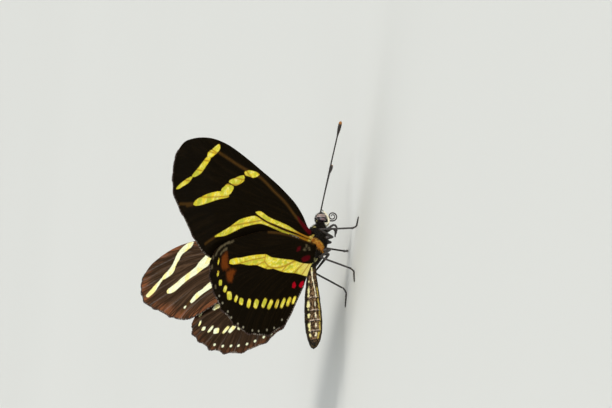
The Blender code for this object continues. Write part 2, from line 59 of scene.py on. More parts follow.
def smoothLine(points, step, closed=False):  # Catmull-Rom curve, points about a step apart
    points = np.array(points, float)
    count = len(points)
    found = []
    for i in range(count if closed else count - 1):
        first, second = points[i], points[(i + 1) % count]
        before = points[i - 1] if closed or i else 2 * first - second
        after = points[(i + 2) % count] if closed or i + 2 < count else 2 * second - first
        steps = max(1, round(np.linalg.norm(second - first) / step))
        for t in np.arange(steps) / steps:
            bend = (2 * before - 5 * first + 4 * second - after) * t ** 2
            twist = (3 * first - before - 3 * second + after) * t ** 3
            found.append((2 * first + (second - before) * t + bend + twist) / 2)
    if not closed:
        found.append(points[-1])
    return np.array(found)


def ringOf(line):
    return np.vstack([line, line[:1]])


def lineDistance(points, line):  # distance to an open line, and how far along it the nearest place is
    best = np.full(len(points), 1e9)
    share = np.zeros(len(points))
    for i, (first, second) in enumerate(zip(line[:-1], line[1:])):
        run = second - first
        along = np.clip((points - first) @ run / max(run @ run, 1e-12), 0, 1)
        away = np.linalg.norm(points - first - along[:, None] * run, axis=1)
        closer = away < best
        best[closer] = away[closer]
        share[closer] = (i + along[closer]) / (len(line) - 1)
    return best, share


def insideShape(points, shape):
    found = np.zeros(len(points), bool)
    for first, second in zip(shape, np.roll(shape, -1, axis=0)):
        if first[1] == second[1]:
            continue
        crosses = (first[1] > points[:, 1]) != (second[1] > points[:, 1])
        at = first[0] + (points[:, 1] - first[1]) / (second[1] - first[1]) * (second[0] - first[0])
        found ^= crosses & (points[:, 0] < at)
    return found


def shapeDistance(points, corners):  # signed, positive inside the rounded shape
    shape = smoothLine(corners, 0.5, closed=True)
    away, _ = lineDistance(points, ringOf(shape))
    return np.where(insideShape(points, shape), away, -away)


def spotDistance(points, middle, width, length, toward, square):  # signed, for a rounded box of a spot
    toward = np.array(toward, float) / np.linalg.norm(toward)
    offset = points - np.array(middle, float)
    along = offset @ toward / (length / 2)
    across = (offset[:, 0] * toward[1] - offset[:, 1] * toward[0]) / (width / 2)
    reach = (np.abs(along) ** square + np.abs(across) ** square) ** (1 / square)
    return (1 - reach) * min(width, length) / 2


def union(points, fields):  # of the signed distances to several marks
    return np.max([np.full(len(points), farOut), *fields], axis=0)


def smoothMax(value, limit, softness):
    return (value + limit + np.hypot(value - limit, softness)) / 2


def ease(value):
    value = np.clip(value, 0, 1)
    return value * value * (3 - 2 * value)


def bell(value, width):
    return np.exp(-(value / width) ** 2)


def unit(vectors):
    return vectors / np.maximum(np.linalg.norm(vectors, axis=-1, keepdims=True), 1e-12)


def valuesAt(at, share, table):  # every column of a table, read at shares of its length
    return np.stack([np.interp(at, share, column) for column in table.T], -1)


# Meshes

def ringFaces(rings, around):  # triangles of a tube of rings, closed by a first and a last end point
    ring, k = np.divmod(np.arange((rings - 1) * around), around)
    a, b = ring * around + k, ring * around + (k + 1) % around
    tube = np.stack([a, b, b + around, a, b + around, a + around], 1)
    k = np.arange(around)
    other, last, ends = (k + 1) % around, (rings - 1) * around, rings * around
    caps = np.stack([k * 0 + ends, other, k, last + k, last + other, k * 0 + ends + 1], 1)
    return np.vstack([tube, caps]).reshape(-1, 3)


def repeated(corners, count, size):  # the same triangles for each of many small solids of size points
    return (np.arange(count)[:, None, None] * size + np.array(corners)[None]).reshape(-1, 3)


def addObject(name, data):
    placed = bpy.data.objects.new(name, data)
    bpy.context.scene.collection.objects.link(placed)
    return placed


def addPiece(name, points, faces, material, replaced=(), attributes=None, uv=None):
    mesh = bpy.data.meshes.new(name)
    mesh.vertices.add(len(points))
    mesh.vertices.foreach_set("co", ((points + standAt) * mm).astype(np.float32).ravel())
    mesh.loops.add(faces.size)
    mesh.loops.foreach_set("vertex_index", faces.astype(np.int32).ravel())
    mesh.polygons.add(len(faces))
    mesh.polygons.foreach_set("loop_start", np.arange(0, faces.size, 3, dtype=np.int32))
    for key, values in (attributes or {}).items():
        layer = mesh.attributes.new(key, "FLOAT_VECTOR", "POINT")
        layer.data.foreach_set("vector", values.astype(np.float32).ravel())
    if uv is not None:  # a place for each corner
        layer = mesh.uv_layers.new(name="OFBake")
        layer.uv.foreach_set("vector", uv.astype(np.float32).ravel())
    mesh.update(calc_edges=True)
    mesh.shade_smooth()
    mesh.materials.append(material)
    piece = addObject(name, mesh)
    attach(piece, "root")
    if replaced:
        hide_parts(*replaced)


def addSide(sideName, name, points, faces, material, slotName, nodes=(), attributes=None, places=None):
    turned = faces[:, ::sides[sideName]]
    uv = None if places is None else places[turned.ravel()]
    addPiece(name.format(sideName), points * [sides[sideName], 1, 1], turned, material,
             [node.format(sideName) for node in nodes], attributes, uv)


def addBoth(*values):
    for sideName in sides:
        addSide(sideName, *values)


# Material nodes. newMaterial starts a material, the others add to it, and finishMaterial gives it back.

def newMaterial(name, roughness, specular, **values):
    global material, tree, shader
    material = bpy.data.materials.new(name)
    material.use_nodes = True
    tree = material.node_tree
    shader = tree.nodes["Principled BSDF"]
    for key, value in {"Roughness": roughness, "Specular IOR Level": specular, **values}.items():
        shader.inputs[key].default_value = value


def addNode(kind, inputs=None, **settings):
    made = tree.nodes.new("ShaderNode" + kind)
    for name, value in settings.items():
        setattr(made, name, value)
    for place, value in (inputs or {}).items():
        if isinstance(value, bpy.types.NodeSocket):
            tree.links.new(value, made.inputs[place])
        else:
            made.inputs[place].default_value = value
    return made


def attribute(name):
    return addNode("Attribute", attribute_name=name).outputs["Vector"]


def parts(vector):
    return addNode("SeparateXYZ", {"Vector": vector}).outputs[:3]


def position():
    return addNode("NewGeometry").outputs["Position"]


def maths(operation, first, second=0.0, third=0.0):
    return addNode("Math", {0: first, 1: second, 2: third}, operation=operation).outputs[0]


def times(first, second):
    return maths("MULTIPLY", first, second)


def plus(first, second):
    return maths("ADD", first, second)


def timesPlus(value, scale, more):
    return maths("MULTIPLY_ADD", value, scale, more)


def laid(below, field, colour, low, high):  # a colour over what is below, from low to high of a field
    return blend(softStep(field, low, high), below, colour)


def noiseAt(vector, scale, detail=2.0, rough=0.5):
    inputs = {"Vector": vector, "Scale": scale, "Detail": detail, "Roughness": rough}
    return addNode("TexNoise", inputs).outputs["Fac"]


def stretched(vector, scale):
    return addNode("Mapping", {"Vector": vector, "Scale": scale}).outputs["Vector"]


def softStep(value, low, high):  # 0 below low, 1 above high
    inputs = {"Value": value, "From Min": low, "From Max": high}
    return addNode("MapRange", inputs, interpolation_type="SMOOTHSTEP").outputs["Result"]


def blend(share, first, second):  # colours as red, green and blue, or from another node
    first, second = (v if isinstance(v, bpy.types.NodeSocket) else (*v, 1.0) for v in (first, second))
    return addNode("Mix", {0: share, 6: first, 7: second}, data_type="RGBA").outputs[2]


def shaded(colour, scale):
    return addNode("VectorMath", {0: colour, "Scale": scale}, operation="SCALE").outputs["Vector"]


def finishMaterial(colour, height=None, strength=0.0, distance=0.0, **settings):  # distance in metres
    tree.links.new(colour, shader.inputs["Base Color"])
    if height:
        bump = addNode("Bump", {"Height": height, "Strength": strength, "Distance": distance}, **settings)
        tree.links.new(bump.outputs["Normal"], shader.inputs["Normal"])
    return material


camera = {
    "target": (-2.34, -6.36, 1.16),
    "towardCamera": (-0.929, 0.359, 0.090),
    "pictureUp": (-0.3519, -0.9322, 0.0843),
    "distance": 1284.0,
    "lens": 400.0,
    "sensor": 36.0,
    "near": 0.05,  # metres
}


def addCamera():
    lens = bpy.data.cameras.new("camera")
    lens.lens = camera["lens"]
    lens.sensor_width = camera["sensor"]
    lens.clip_start = camera["near"]
    seen = addObject("camera", lens)
    back = Vector(camera["towardCamera"]).normalized()
    up = Vector(camera["pictureUp"]).normalized()
    right = up.cross(back).normalized()
    turn = Matrix((right, back.cross(right), back)).transposed().to_4x4()
    place = Vector(camera["target"]) + back * camera["distance"] + Vector(standAt)
    seen.matrix_world = Matrix.Translation(place * mm) @ turn
    bpy.context.scene.camera = seen


light = {
    "key": {"from": (-0.60, -0.40, 0.64), "strength": 1.75, "softness": 28.0, "colour": (1.0, 0.96, 0.90)},
    "fill": {"from": (-0.88, 0.42, 0.22), "strength": 2.3, "softness": 70.0, "colour": (0.95, 0.98, 1.0)},
    "back": {"from": (0.75, 0.30, 0.60), "strength": 0.6, "softness": 60.0, "colour": (1.0, 0.98, 0.95)},
    "room": (0.90, 0.93, 0.95),
    "roomStrength": 0.42,
    "floorHalf": 14.0,  # metres, so that it fills the low view
    "floorTones": [(0.70, 0.71, 0.68), (0.75, 0.76, 0.73)],
}


def addLights():
    scene = bpy.context.scene
    for name in ("key", "fill", "back"):
        sizes = light[name]
        lamp = bpy.data.lights.new(name, "SUN")
        lamp.angle = math.radians(sizes["softness"])
        lamp.energy = sizes["strength"]
        lamp.color = sizes["colour"]
        addObject(name, lamp).rotation_euler = Vector(sizes["from"]).to_track_quat("Z", "Y").to_euler()
    world = bpy.data.worlds.new("room")
    world.use_nodes = True
    shade = world.node_tree.nodes["Background"]
    shade.inputs["Color"].default_value = (*light["room"], 1.0)
    shade.inputs["Strength"].default_value = light["roomStrength"]
    scene.world = world
    scene.view_settings.view_transform = "Standard"


def addFloor():
    newMaterial("paleFloor", 0.7, 0.2)
    cloud = noiseAt(addNode("TexCoord").outputs["Object"], 1.5, 3.0)
    half = light["floorHalf"]
    mesh = bpy.data.meshes.new("floor")
    mesh.from_pydata([(-half, -half, 0), (half, -half, 0), (half, half, 0), (-half, half, 0)], [],
                     [(0, 1, 2, 3)])
    mesh.materials.append(finishMaterial(blend(cloud, *light["floorTones"])))
    addObject("floor", mesh)


# Wings, laid flat as (p, q): p along the span from the hinge, q towards the front edge

wing = {
    "membrane": 0.16,  # thickness
    "edge": 0.07,  # thickness at the very edge
    "edgeSlope": 0.5,  # the full thickness begins this far in
    "edgeScale": {"forewing": 0.78, "hindwing": 1.35},  # less than 1 widens the warm border
    "grid": 0.24,  # distance between the fill points
    "stray": 0.04,  # share of it by which they stray
    "edgeStep": 0.22,
    "edgeRoom": 0.12,  # fill points keep this far from the edge, and farther from a vein
    "veinStep": 0.30,
    "veinRoom": 0.30,
    "veinRows": (-1.9, -1.0, -0.5, 0.5, 1.0, 1.9),  # points beside a vein, as shares of its half width
    "merge": 0.012,  # points closer than this become one
    "ridge": 0.085,  # height of a vein above each face
    "ridgeFrom": 0.35,  # this far in from the edge it is full
    "foldDepth": 0.035,
    "foldWidth": 0.22,
    "foldFrom": (0.35, 0.5),  # how far from the veins it begins, and how softly
    "billow": 0.10,  # how far the membrane wanders between the veins
    "billowFrom": 3.0,
    "bow": 0.55,
    "bowMiddle": -2.0,
    "bowHalf": 9.0,
    "bowSpan": 20.0,
    "spacing": 0.85,  # of the hindwing outside the forewing's plane
    "spacingSoft": 0.3,
    "midlineRoom": 0.62,  # between a hindwing and the body's middle
    "midlineSoft": 0.6,
    "dip": 1.5,  # how far from a vein's end the edge is drawn in fully
}

forewing = {
    "hinge": (2.3, 0.0, 0.0),
    "span": (0.711, -0.025, 0.703),
    "chord": (0.257, -0.921, -0.292),
    "front": [(-1.2, 0.6), (1.4, 1.2), (3.8, 2.7), (6.6, 4.0), (9.7, 4.9), (13.8, 5.8), (18.2, 6.5),
              (23.8, 7.3), (29.1, 7.8), (33.1, 7.6), (36.3, 6.8), (39.2, 5.5), (41.1, 4.1), (42.0, 1.7)],
    "back": [(41.6, -0.6), (40.4, -3.3), (38.4, -5.9), (34.3, -8.4), (31.0, -10.4), (27.6, -11.9),
             (24.8, -12.5), (20.6, -11.9), (11.9, -8.3), (5.0, -4.0), (0.6, -1.9), (-1.2, -1.5)],
    "flex": (1.50, 0.9, 27.3, 17.0),  # size, lean, start and reach of the outer part's bend
    "grain": (2.5, 12.0, 24.0),  # q of the streaks' middle line, p where they begin to fan out, how slowly
    "ripple": 0.14,  # depth of the outer edge between two veins
    "rippleFrom": (27, 4), "rippleBelow": (4, 3),  # p and q where it begins, and how softly
    "middle": (25.0, -2.0),
    "fringe": {"from": 16, "below": 2.5, "white": 0.25},  # p and q that bound it, and its share of white
    "veins": {  # half width at base and tip, then the line
        "costa": (0.26, 0.10, [(-0.5, 0.75), (3.8, 2.5), (6.6, 3.8), (9.7, 4.7), (13.8, 5.6), (18.2, 6.3),
            (23.8, 7.1), (29.1, 7.6)]),
        "subcosta": (0.17, 0.09, [(0.2, 0.4), (8.0, 2.8), (15.0, 4.6), (21.0, 6.4)]),
        "radius": (0.22, 0.09, [(-0.6, 0.1), (8.0, 1.7), (15.0, 3.0), (20.3, 4.0), (25.6, 4.9), (30.9, 5.4),
            (37.4, 6.2)]),
        "radiusOne": (0.11, 0.08, [(17.6, 3.6), (22.7, 5.3), (28.2, 7.5)]),
        "radiusTwo": (0.11, 0.08, [(22.2, 4.4), (27.5, 6.0), (32.6, 7.4)]),
        "radiusFour": (0.10, 0.07, [(30.9, 5.4), (36.0, 4.6), (41.3, 3.6)]),
        "radiusFive": (0.11, 0.07, [(25.6, 4.9), (33.5, 3.2), (41.9, 1.4)]),
        "mediaOne": (0.10, 0.07, [(22.2, 3.4), (30.4, 1.8), (41.5, -0.5)]),
        "mediaTwo": (0.11, 0.07, [(22.6, 2.2), (30.6, -0.4), (40.7, -2.7)]),
        "mediaThree": (0.11, 0.07, [(21.4, 0.5), (29.3, -2.7), (39.0, -5.2)]),
        "cubitusOne": (0.12, 0.07, [(19.2, -0.8), (26.8, -4.5), (35.6, -7.5)]),
        "cubitusTwo": (0.12, 0.07, [(13.3, -1.5), (21.3, -5.8), (30.6, -10.5)]),
        "cubitus": (0.20, 0.08, [(-0.6, -0.4), (7.0, -1.2), (13.3, -1.5), (19.2, -0.8), (21.4, 0.5),
            (22.6, 2.2), (22.2, 3.4), (20.3, 4.0)]),
        "anal": (0.17, 0.08, [(-0.4, -1.0), (9.0, -4.2), (16.8, -8.8), (24.5, -12.3)]),
    },
}

hindwing = {
    "hinge": (2.3, 3.0, 0.0),
    "span": (0.427, 0.493, 0.758),
    "chord": (0.549, -0.807, 0.216),
    "front": [(-1.7, 0.8), (0.6, 2.1), (5.2, 4.7), (9.0, 6.3), (12.7, 7.1), (16.7, 7.3), (20.6, 7.4),
              (24.0, 6.8), (26.2, 5.1)],
    "teeth": [(26.2, 5.1), (26.7, 2.4), (26.0, -0.9), (24.6, -4.8), (22.2, -8.2), (18.8, -11.0),
              (13.6, -12.7), (9.3, -12.3)],
    "back": [(9.3, -12.3), (6.7, -10.5), (4.2, -7.9), (2.2, -5.6), (0.8, -3.6), (-0.4, -2.3), (-1.7, -1.6)],
    "flex": (1.55, 1.1, 13.2, 23.3),
    "grain": (1.0, 8.0, 14.0),
    "scallop": 0.45,
    "fringe": {"from": 2.5, "below": 4.5, "white": 0.55},
    "veins": {
        "subcosta": (0.18, 0.08, [(-0.4, 1.4), (5.9, 3.6), (12.9, 5.4), (20.0, 6.9)]),
        "radius": (0.19, 0.08, [(-0.6, 0.8), (5.9, 1.6), (11.2, 2.5), (17.9, 4.2), (26.1, 5.0)]),
        "mediaOne": (0.10, 0.07, [(11.5, 1.8), (17.9, 2.4), (26.6, 2.3)]),
        "mediaTwo": (0.10, 0.07, [(11.7, 1.0), (17.9, 0.4), (23.0, -0.7), (25.9, -0.9)]),
        "mediaThree": (0.11, 0.07, [(10.9, -0.1), (16.0, -1.7), (21.0, -3.4), (24.5, -4.8)]),
        "cubitusOne": (0.12, 0.07, [(9.5, -0.8), (14.0, -3.0), (18.3, -5.1), (22.1, -8.2)]),
        "cubitusTwo": (0.12, 0.07, [(6.2, -1.1), (10.4, -3.6), (14.3, -6.5), (18.7, -10.9)]),
        "cubitus": (0.19, 0.10, [(-0.6, -0.2), (6.2, -1.1), (9.5, -0.8), (10.9, -0.1), (11.7, 1.0),
            (11.5, 1.8), (11.2, 2.5)]),
        "analOne": (0.14, 0.07, [(-0.2, -1.0), (5.0, -3.3), (9.6, -7.1), (13.5, -12.6)]),
        "analTwo": (0.13, 0.07, [(0.0, -1.9), (3.6, -4.6), (6.3, -7.8), (9.3, -12.1)]),
    },
}


def wingAxes(sizes):
    return [np.array(sizes[key], float) for key in ("hinge", "span", "chord")]


def flexed(p, q, sizes):  # how far the outer, hinder part of a wing is bent outward
    size, lean, start, reach = sizes["flex"]
    return size * ease((p - lean * q - start) / reach)


def forewingPlace(p, q):
    hinge, span, chord = wingAxes(forewing)
    out = unit(np.cross(span, chord))
    bow = wing["bow"] * np.minimum(np.abs(p) / wing["bowSpan"], 1)
    bow = bow * (1 - ((q - wing["bowMiddle"]) / wing["bowHalf"]) ** 2)
    lift = flexed(p, q, forewing) - bow
    return hinge + p[:, None] * span + q[:, None] * chord + lift[:, None] * out


def hindwingPlace(p, q):  # held clear under the forewing and bent up along the abdomen
    hinge, span, chord = wingAxes(hindwing)
    foreHinge, foreSpan, foreChord = wingAxes(forewing)
    out = unit(np.cross(foreSpan, foreChord))
    place = hinge + p[:, None] * span + q[:, None] * chord
    reach = place - foreHinge
    depth = reach @ out
    room = wing["spacing"] + flexed(reach @ foreSpan, reach @ foreChord, forewing)
    place += (smoothMax(depth + flexed(p, q, hindwing), room, wing["spacingSoft"]) - depth)[:, None] * out
    place[:, 0] = smoothMax(place[:, 0], wing["midlineRoom"], wing["midlineSoft"])
    return place


def wingNormal(placeOf, p, q, tiny=0.05):
    along = placeOf(p + tiny, q) - placeOf(p - tiny, q)
    return unit(np.cross(along, placeOf(p, q + tiny) - placeOf(p, q - tiny)))


def veinEnds(beyond):
    return [line[-1] for _, _, line in forewing["veins"].values() if line[-1][0] > beyond]


def nearestOf(points, ends):
    return np.linalg.norm(points[:, None] - np.array(ends, float)[None], axis=2).min(1)


def drawnIn(edge, ends, middle, depth, share=1.0):  # the edge dips between the ends of the veins
    drawn = depth * ease(nearestOf(edge, ends) / wing["dip"]) * share
    return edge + unit(middle - edge) * drawn[:, None]


def forewingOutline():
    edge = smoothLine(forewing["front"] + forewing["back"], wing["edgeStep"], closed=True)
    (start, reach), (top, fade) = forewing["rippleFrom"], forewing["rippleBelow"]
    outer = ease((edge[:, 0] - start) / reach) * ease((top - edge[:, 1]) / fade)
    return drawnIn(edge, veinEnds(start), np.array(forewing["middle"]), forewing["ripple"], outer)


def hindwingOutline():
    front, teeth, back = (smoothLine(hindwing[key], wing["edgeStep"]) for key in ("front", "teeth", "back"))
    outer = drawnIn(teeth, hindwing["teeth"], np.mean(hindwing["teeth"], axis=0), hindwing["scallop"])
    return np.vstack([front[:-1], outer[:-1], back])


def wingNet(outline, veins):  # the flat wing as a net of triangles, finer along the veins
    points, lines = [outline], []
    count = len(outline)
    edges = [(i, (i + 1) % count) for i in range(count)]
    for wide, narrow, controls in veins.values():
        line = smoothLine(controls, wing["veinStep"])
        along = unit(np.gradient(line, axis=0))
        across = np.stack([-along[:, 1], along[:, 0]], 1)
        half = np.linspace(wide, narrow, len(line))[:, None]
        edges += [(count + i, count + i + 1) for i in range(len(line) - 1)]
        lines.append(line)
        points += [line] + [line + across * half * reach for reach in wing["veinRows"]]
        count += len(line) * (1 + len(wing["veinRows"]))
    own = np.vstack(points)
    low, high = outline.min(0), outline.max(0)
    grid = wing["grid"]
    columns = np.arange(low[0], high[0], grid)
    rows = np.arange(low[1], high[1], grid * 0.866)  # rows of even triangles
    fill = np.array([(x + grid / 2 * (k % 2), y) for k, y in enumerate(rows) for x in columns])
    fill += dice.uniform(-wing["stray"], wing["stray"], fill.shape) * grid
    clear = np.min([lineDistance(fill, line)[0] for line in lines], axis=0) > wing["veinRoom"]
    clear &= lineDistance(fill, ringOf(outline))[0] > wing["edgeRoom"]
    fill = fill[clear & insideShape(fill, outline)]
    keep = insideShape(own, outline)
    keep[:len(outline)] = True
    number = np.cumsum(keep) - 1
    edges = [(int(number[a]), int(number[b])) for a, b in edges if keep[a] and keep[b]]
    everything = [Vector(point) for point in np.vstack([own[keep], fill])]
    flat, _, faces, _, _, _ = delaunay_2d_cdt(everything, edges, [], 0, wing["merge"])
    flat, faces = np.array([tuple(v) for v in flat]), np.array([tuple(f) for f in faces if len(f) == 3])
    used, faces = np.unique(faces[insideShape(flat[faces].mean(1), outline)], return_inverse=True)
    return flat[used], faces.reshape(-1, 3)


def veinField(points, veins):  # distance beyond the nearest vein, its ridge, and the fold midway between two
    gaps = []
    ridge = np.zeros(len(points))
    for wide, narrow, controls in veins.values():
        away, share = lineDistance(points, smoothLine(controls, 1.0))
        half = wide + (narrow - wide) * share
        gaps.append(away - half)
        ridge = np.maximum(ridge, np.exp(-(away / half) ** 2 * 1.2) * (0.45 + 0.55 * half / 0.2))
    first, second = np.sort(gaps, axis=0)[:2]
    start, reach = wing["foldFrom"]
    return first, ridge, bell(second - first, wing["foldWidth"]) * ease((first - start) / reach)


def makeWing(kind, sizes, outline, placeOf, marks):
    flat, faces = wingNet(outline, sizes["veins"])
    p, q = flat.T
    count = len(flat)
    none = np.zeros(count)
    gap, ridge, fold = veinField(flat, sizes["veins"])
    edgeAway, _ = lineDistance(flat, ringOf(outline))
    normal = wingNormal(placeOf, p, q)
    wander = np.sin(p * 0.55 + q * 0.35) * np.sin(q * 0.9 - p * 0.2) * wing["billow"]
    wander = wander * ease(edgeAway / wing["billowFrom"])
    middle = placeOf(p, q) + normal * (wander - fold * wing["foldDepth"])[:, None]
    half = wing["edge"] / 2 + (wing["membrane"] - wing["edge"]) / 2 * ease(edgeAway / wing["edgeSlope"])
    half = normal * (half + ridge * wing["ridge"] * ease(edgeAway / wing["ridgeFrom"]))[:, None]
    sideLines = np.vstack([faces[:, [0, 1]], faces[:, [1, 2]], faces[:, [2, 0]]])
    _, place, uses = np.unique(np.sort(sideLines, axis=1), axis=0, return_index=True, return_counts=True)
    a, b = sideLines[place[uses == 1]].T  # the rim, which the walls close
    walls = np.stack([b, a, a + count, b, a + count, b + count], 1).reshape(-1, 3)
    triangles = np.vstack([faces, faces[:, ::-1] + count, walls])
    lines = np.stack([gap, fold, edgeAway * wing["edgeScale"][kind]], 1)
    level, start, reach = sizes["grain"]
    spread = np.exp(0.6 * np.clip((p - start) / reach, 0, 2) ** 2)
    grain = np.stack([np.arctan2(q - level, p + 6) * 26 / spread, np.hypot(p + 6, q - level), none], 1)
    painted = zip(*[paintWing(flat, marks, face) for face in ("under", "over")])
    attributes = {"lines": np.vstack([lines, lines]), "grain": np.vstack([grain, grain + [0, 0, 9.0]])}
    attributes.update({key: np.vstack(values) for key, values in zip(("marks", "tones", "more"), painted)})
    across, up = np.ptp(flat, axis=0)
    # The under face fills the map's lower half
    places = (flat - flat.min(0)) / max(across, 2.1 * up) * 0.98 + 0.01
    addBoth(kind + "_{}_scales", np.vstack([middle + half, middle - half]), triangles, wingMaterial, "wing",
            [kind + "_{}"], attributes, np.vstack([places, places + [0, 0.5]]))
    print(kind, count, "points a face", len(triangles), "triangles a wing")


# Markings as points of rounded shapes; ochre and olive as lines; base turns the bands ochre towards the
# forewing's root and pale towards the hindwing's, and upper says how brown the upper face is, a brown that is
# partly painted sheen of sunlit black scales
forewingMarks = {
    "base": {"share": 1.0, "from": 7.0, "over": 6.0, "root": 2.6, "upper": 1.0},
    "under": {
        "cream": [
            [(31.9, 7.2), (31.4, 7.0), (31.0, 6.2), (31.6, 4.9), (32.2, 4.15), (33.2, 4.0), (33.5, 4.8),
             (32.8, 5.7), (32.3, 6.7)],
            [(32.2, 4.05), (32.3, 3.2), (32.8, 1.6), (33.5, 0.4), (34.8, -0.55), (35.6, -0.6), (35.0, 0.7),
             (34.3, 2.1), (33.4, 3.9)],
            [(35.25, -0.55), (35.9, -2.0), (37.3, -3.2), (38.3, -4.1), (39.1, -4.3), (38.8, -3.7),
             (38.2, -2.8), (37.0, -1.7), (36.1, -1.0)],
            [(22.7, 4.8), (22.0, 5.4), (21.1, 5.7), (19.5, 5.9), (18.7, 5.7), (19.0, 5.2), (19.9, 4.6),
             (20.9, 4.5), (22.2, 4.3)],
            [(21.9, 4.0), (21.7, 3.3), (22.3, 2.5), (23.5, 1.7), (25.4, 1.8), (25.3, 2.2), (24.3, 2.9),
             (23.2, 3.8), (22.4, 4.2)],
            [(23.6, 1.4), (23.6, 0.4), (24.0, -0.3), (26.4, -0.3), (26.0, 0.7), (25.5, 1.4)],
            [(23.8, -0.7), (25.8, -1.9), (28.2, -3.4), (30.4, -4.6), (32.1, -5.3), (32.8, -5.3), (32.4, -4.3),
             (30.7, -2.9), (28.8, -1.7), (26.5, -0.5), (24.6, -0.3)],
            [(15.9, -0.9), (14.5, -0.25), (12.0, -0.5), (9.0, -0.35), (6.4, -0.25), (3.3, -0.4), (0.5, -0.25),
             (-0.3, 0.45), (-1.1, 0.5), (-1.3, -0.4), (0.5, -0.65), (3.5, -0.75), (6.6, -1.0), (9.8, -1.2),
             (12.0, -1.35), (14.5, -1.2)],
            [(-0.6, -0.75), (3.3, -1.0), (6.6, -1.4), (9.9, -1.6), (12.8, -1.65), (15.5, -1.5), (17.6, -2.6),
             (19.0, -3.6), (20.5, -5.3), (22.3, -7.1), (24.2, -8.7), (23.8, -8.7), (21.3, -7.6), (19.3, -6.1),
             (17.0, -4.3), (14.3, -2.7), (12.5, -2.2), (9.6, -2.0), (6.3, -1.9), (3.0, -1.6), (-0.6, -1.35)],
        ],
        "crimson": [[(5.2, 2.1), (3.6, 1.6), (2.0, 1.3), (0.4, 0.9), (0.4, 0.2), (1.6, 0.4), (3.4, 1.0)]],
        "ochre": [
            [(30.9, 5.75), (26.0, 5.45), (22.5, 5.3), (18.1, 5.3), (13.3, 4.2), (9.3, 3.3), (5.2, 1.8),
             (1.5, 0.7)],
            [(32.9, -5.1), (34.8, -5.8), (36.6, -6.4)], [(33.0, -5.4), (34.6, -6.1)],
            [(2.0, -1.1), (8.0, -1.55), (13.0, -1.6)],
            [(23.8, -8.6), (24.6, -9.3), (25.5, -10.0), (26.4, -10.8)],
        ],
    },
    "over": {
        "cream": [
            [(32.2, 7.7), (33.0, 7.2), (33.5, 6.2), (33.8, 5.2), (34.0, 4.3), (34.1, 3.1), (34.3, 1.9),
             (34.8, 0.9), (35.7, 0.0), (35.9, -0.6), (35.4, -1.1), (33.9, -0.7), (32.9, 0.1), (32.9, 1.7),
             (32.6, 3.2), (32.5, 4.2), (31.7, 5.0), (31.0, 5.8), (30.9, 6.8), (31.2, 7.6)],
            [(35.9, -0.5), (36.5, -1.1), (37.4, -1.8), (38.4, -2.7), (39.1, -3.6), (39.0, -4.1), (38.2, -4.5),
             (37.7, -4.1), (36.8, -3.4), (36.2, -2.2), (35.5, -1.1)],
            [(25.5, 2.8), (25.9, 2.1), (26.7, 1.0), (27.1, -0.4), (28.3, -1.5), (30.2, -2.5), (31.4, -3.3),
             (33.0, -4.0), (33.2, -4.3), (33.0, -4.9), (32.3, -5.2), (31.0, -5.1), (29.5, -4.3), (27.9, -3.5),
             (26.0, -2.6), (24.8, -1.4), (23.7, -0.6), (23.9, 0.7), (23.6, 1.6), (23.2, 2.6), (22.0, 3.3),
             (21.5, 4.2), (22.0, 4.9), (23.5, 4.0)],
            [(22.7, 5.0), (22.0, 5.5), (21.1, 5.8), (19.5, 6.0), (18.9, 5.6), (19.9, 4.8), (21.4, 4.4)],
            [(15.9, -0.9), (14.5, -0.2), (12.0, -0.3), (9.0, -0.2), (6.4, -0.2), (3.3, -0.3), (1.0, -0.3),
             (1.0, -0.7), (3.5, -0.85), (6.6, -1.1), (9.8, -1.3), (12.0, -1.45), (14.5, -1.4)],
            [(0.4, -0.9), (3.3, -1.0), (6.6, -1.3), (9.9, -1.45), (12.8, -1.6), (15.5, -1.5), (17.6, -2.5),
             (19.0, -3.3), (20.5, -4.5), (21.9, -5.7), (22.7, -6.7), (24.0, -7.3), (25.2, -8.3), (25.6, -8.8),
             (25.1, -9.3), (24.2, -9.0), (23.0, -8.3), (22.0, -7.7), (20.7, -7.0), (19.0, -6.0), (17.0, -4.5),
             (14.3, -2.8), (12.5, -2.3), (9.6, -2.1), (6.3, -2.0), (3.0, -1.8), (0.4, -1.5)],
            [(27.1, -9.5), (26.6, -9.3), (26.3, -9.5), (26.6, -10.0), (27.0, -9.9)],
        ],
        "ochre": [[(25.4, -8.6), (26.1, -9.2), (26.9, -9.9), (27.4, -10.6)]],
    },
}

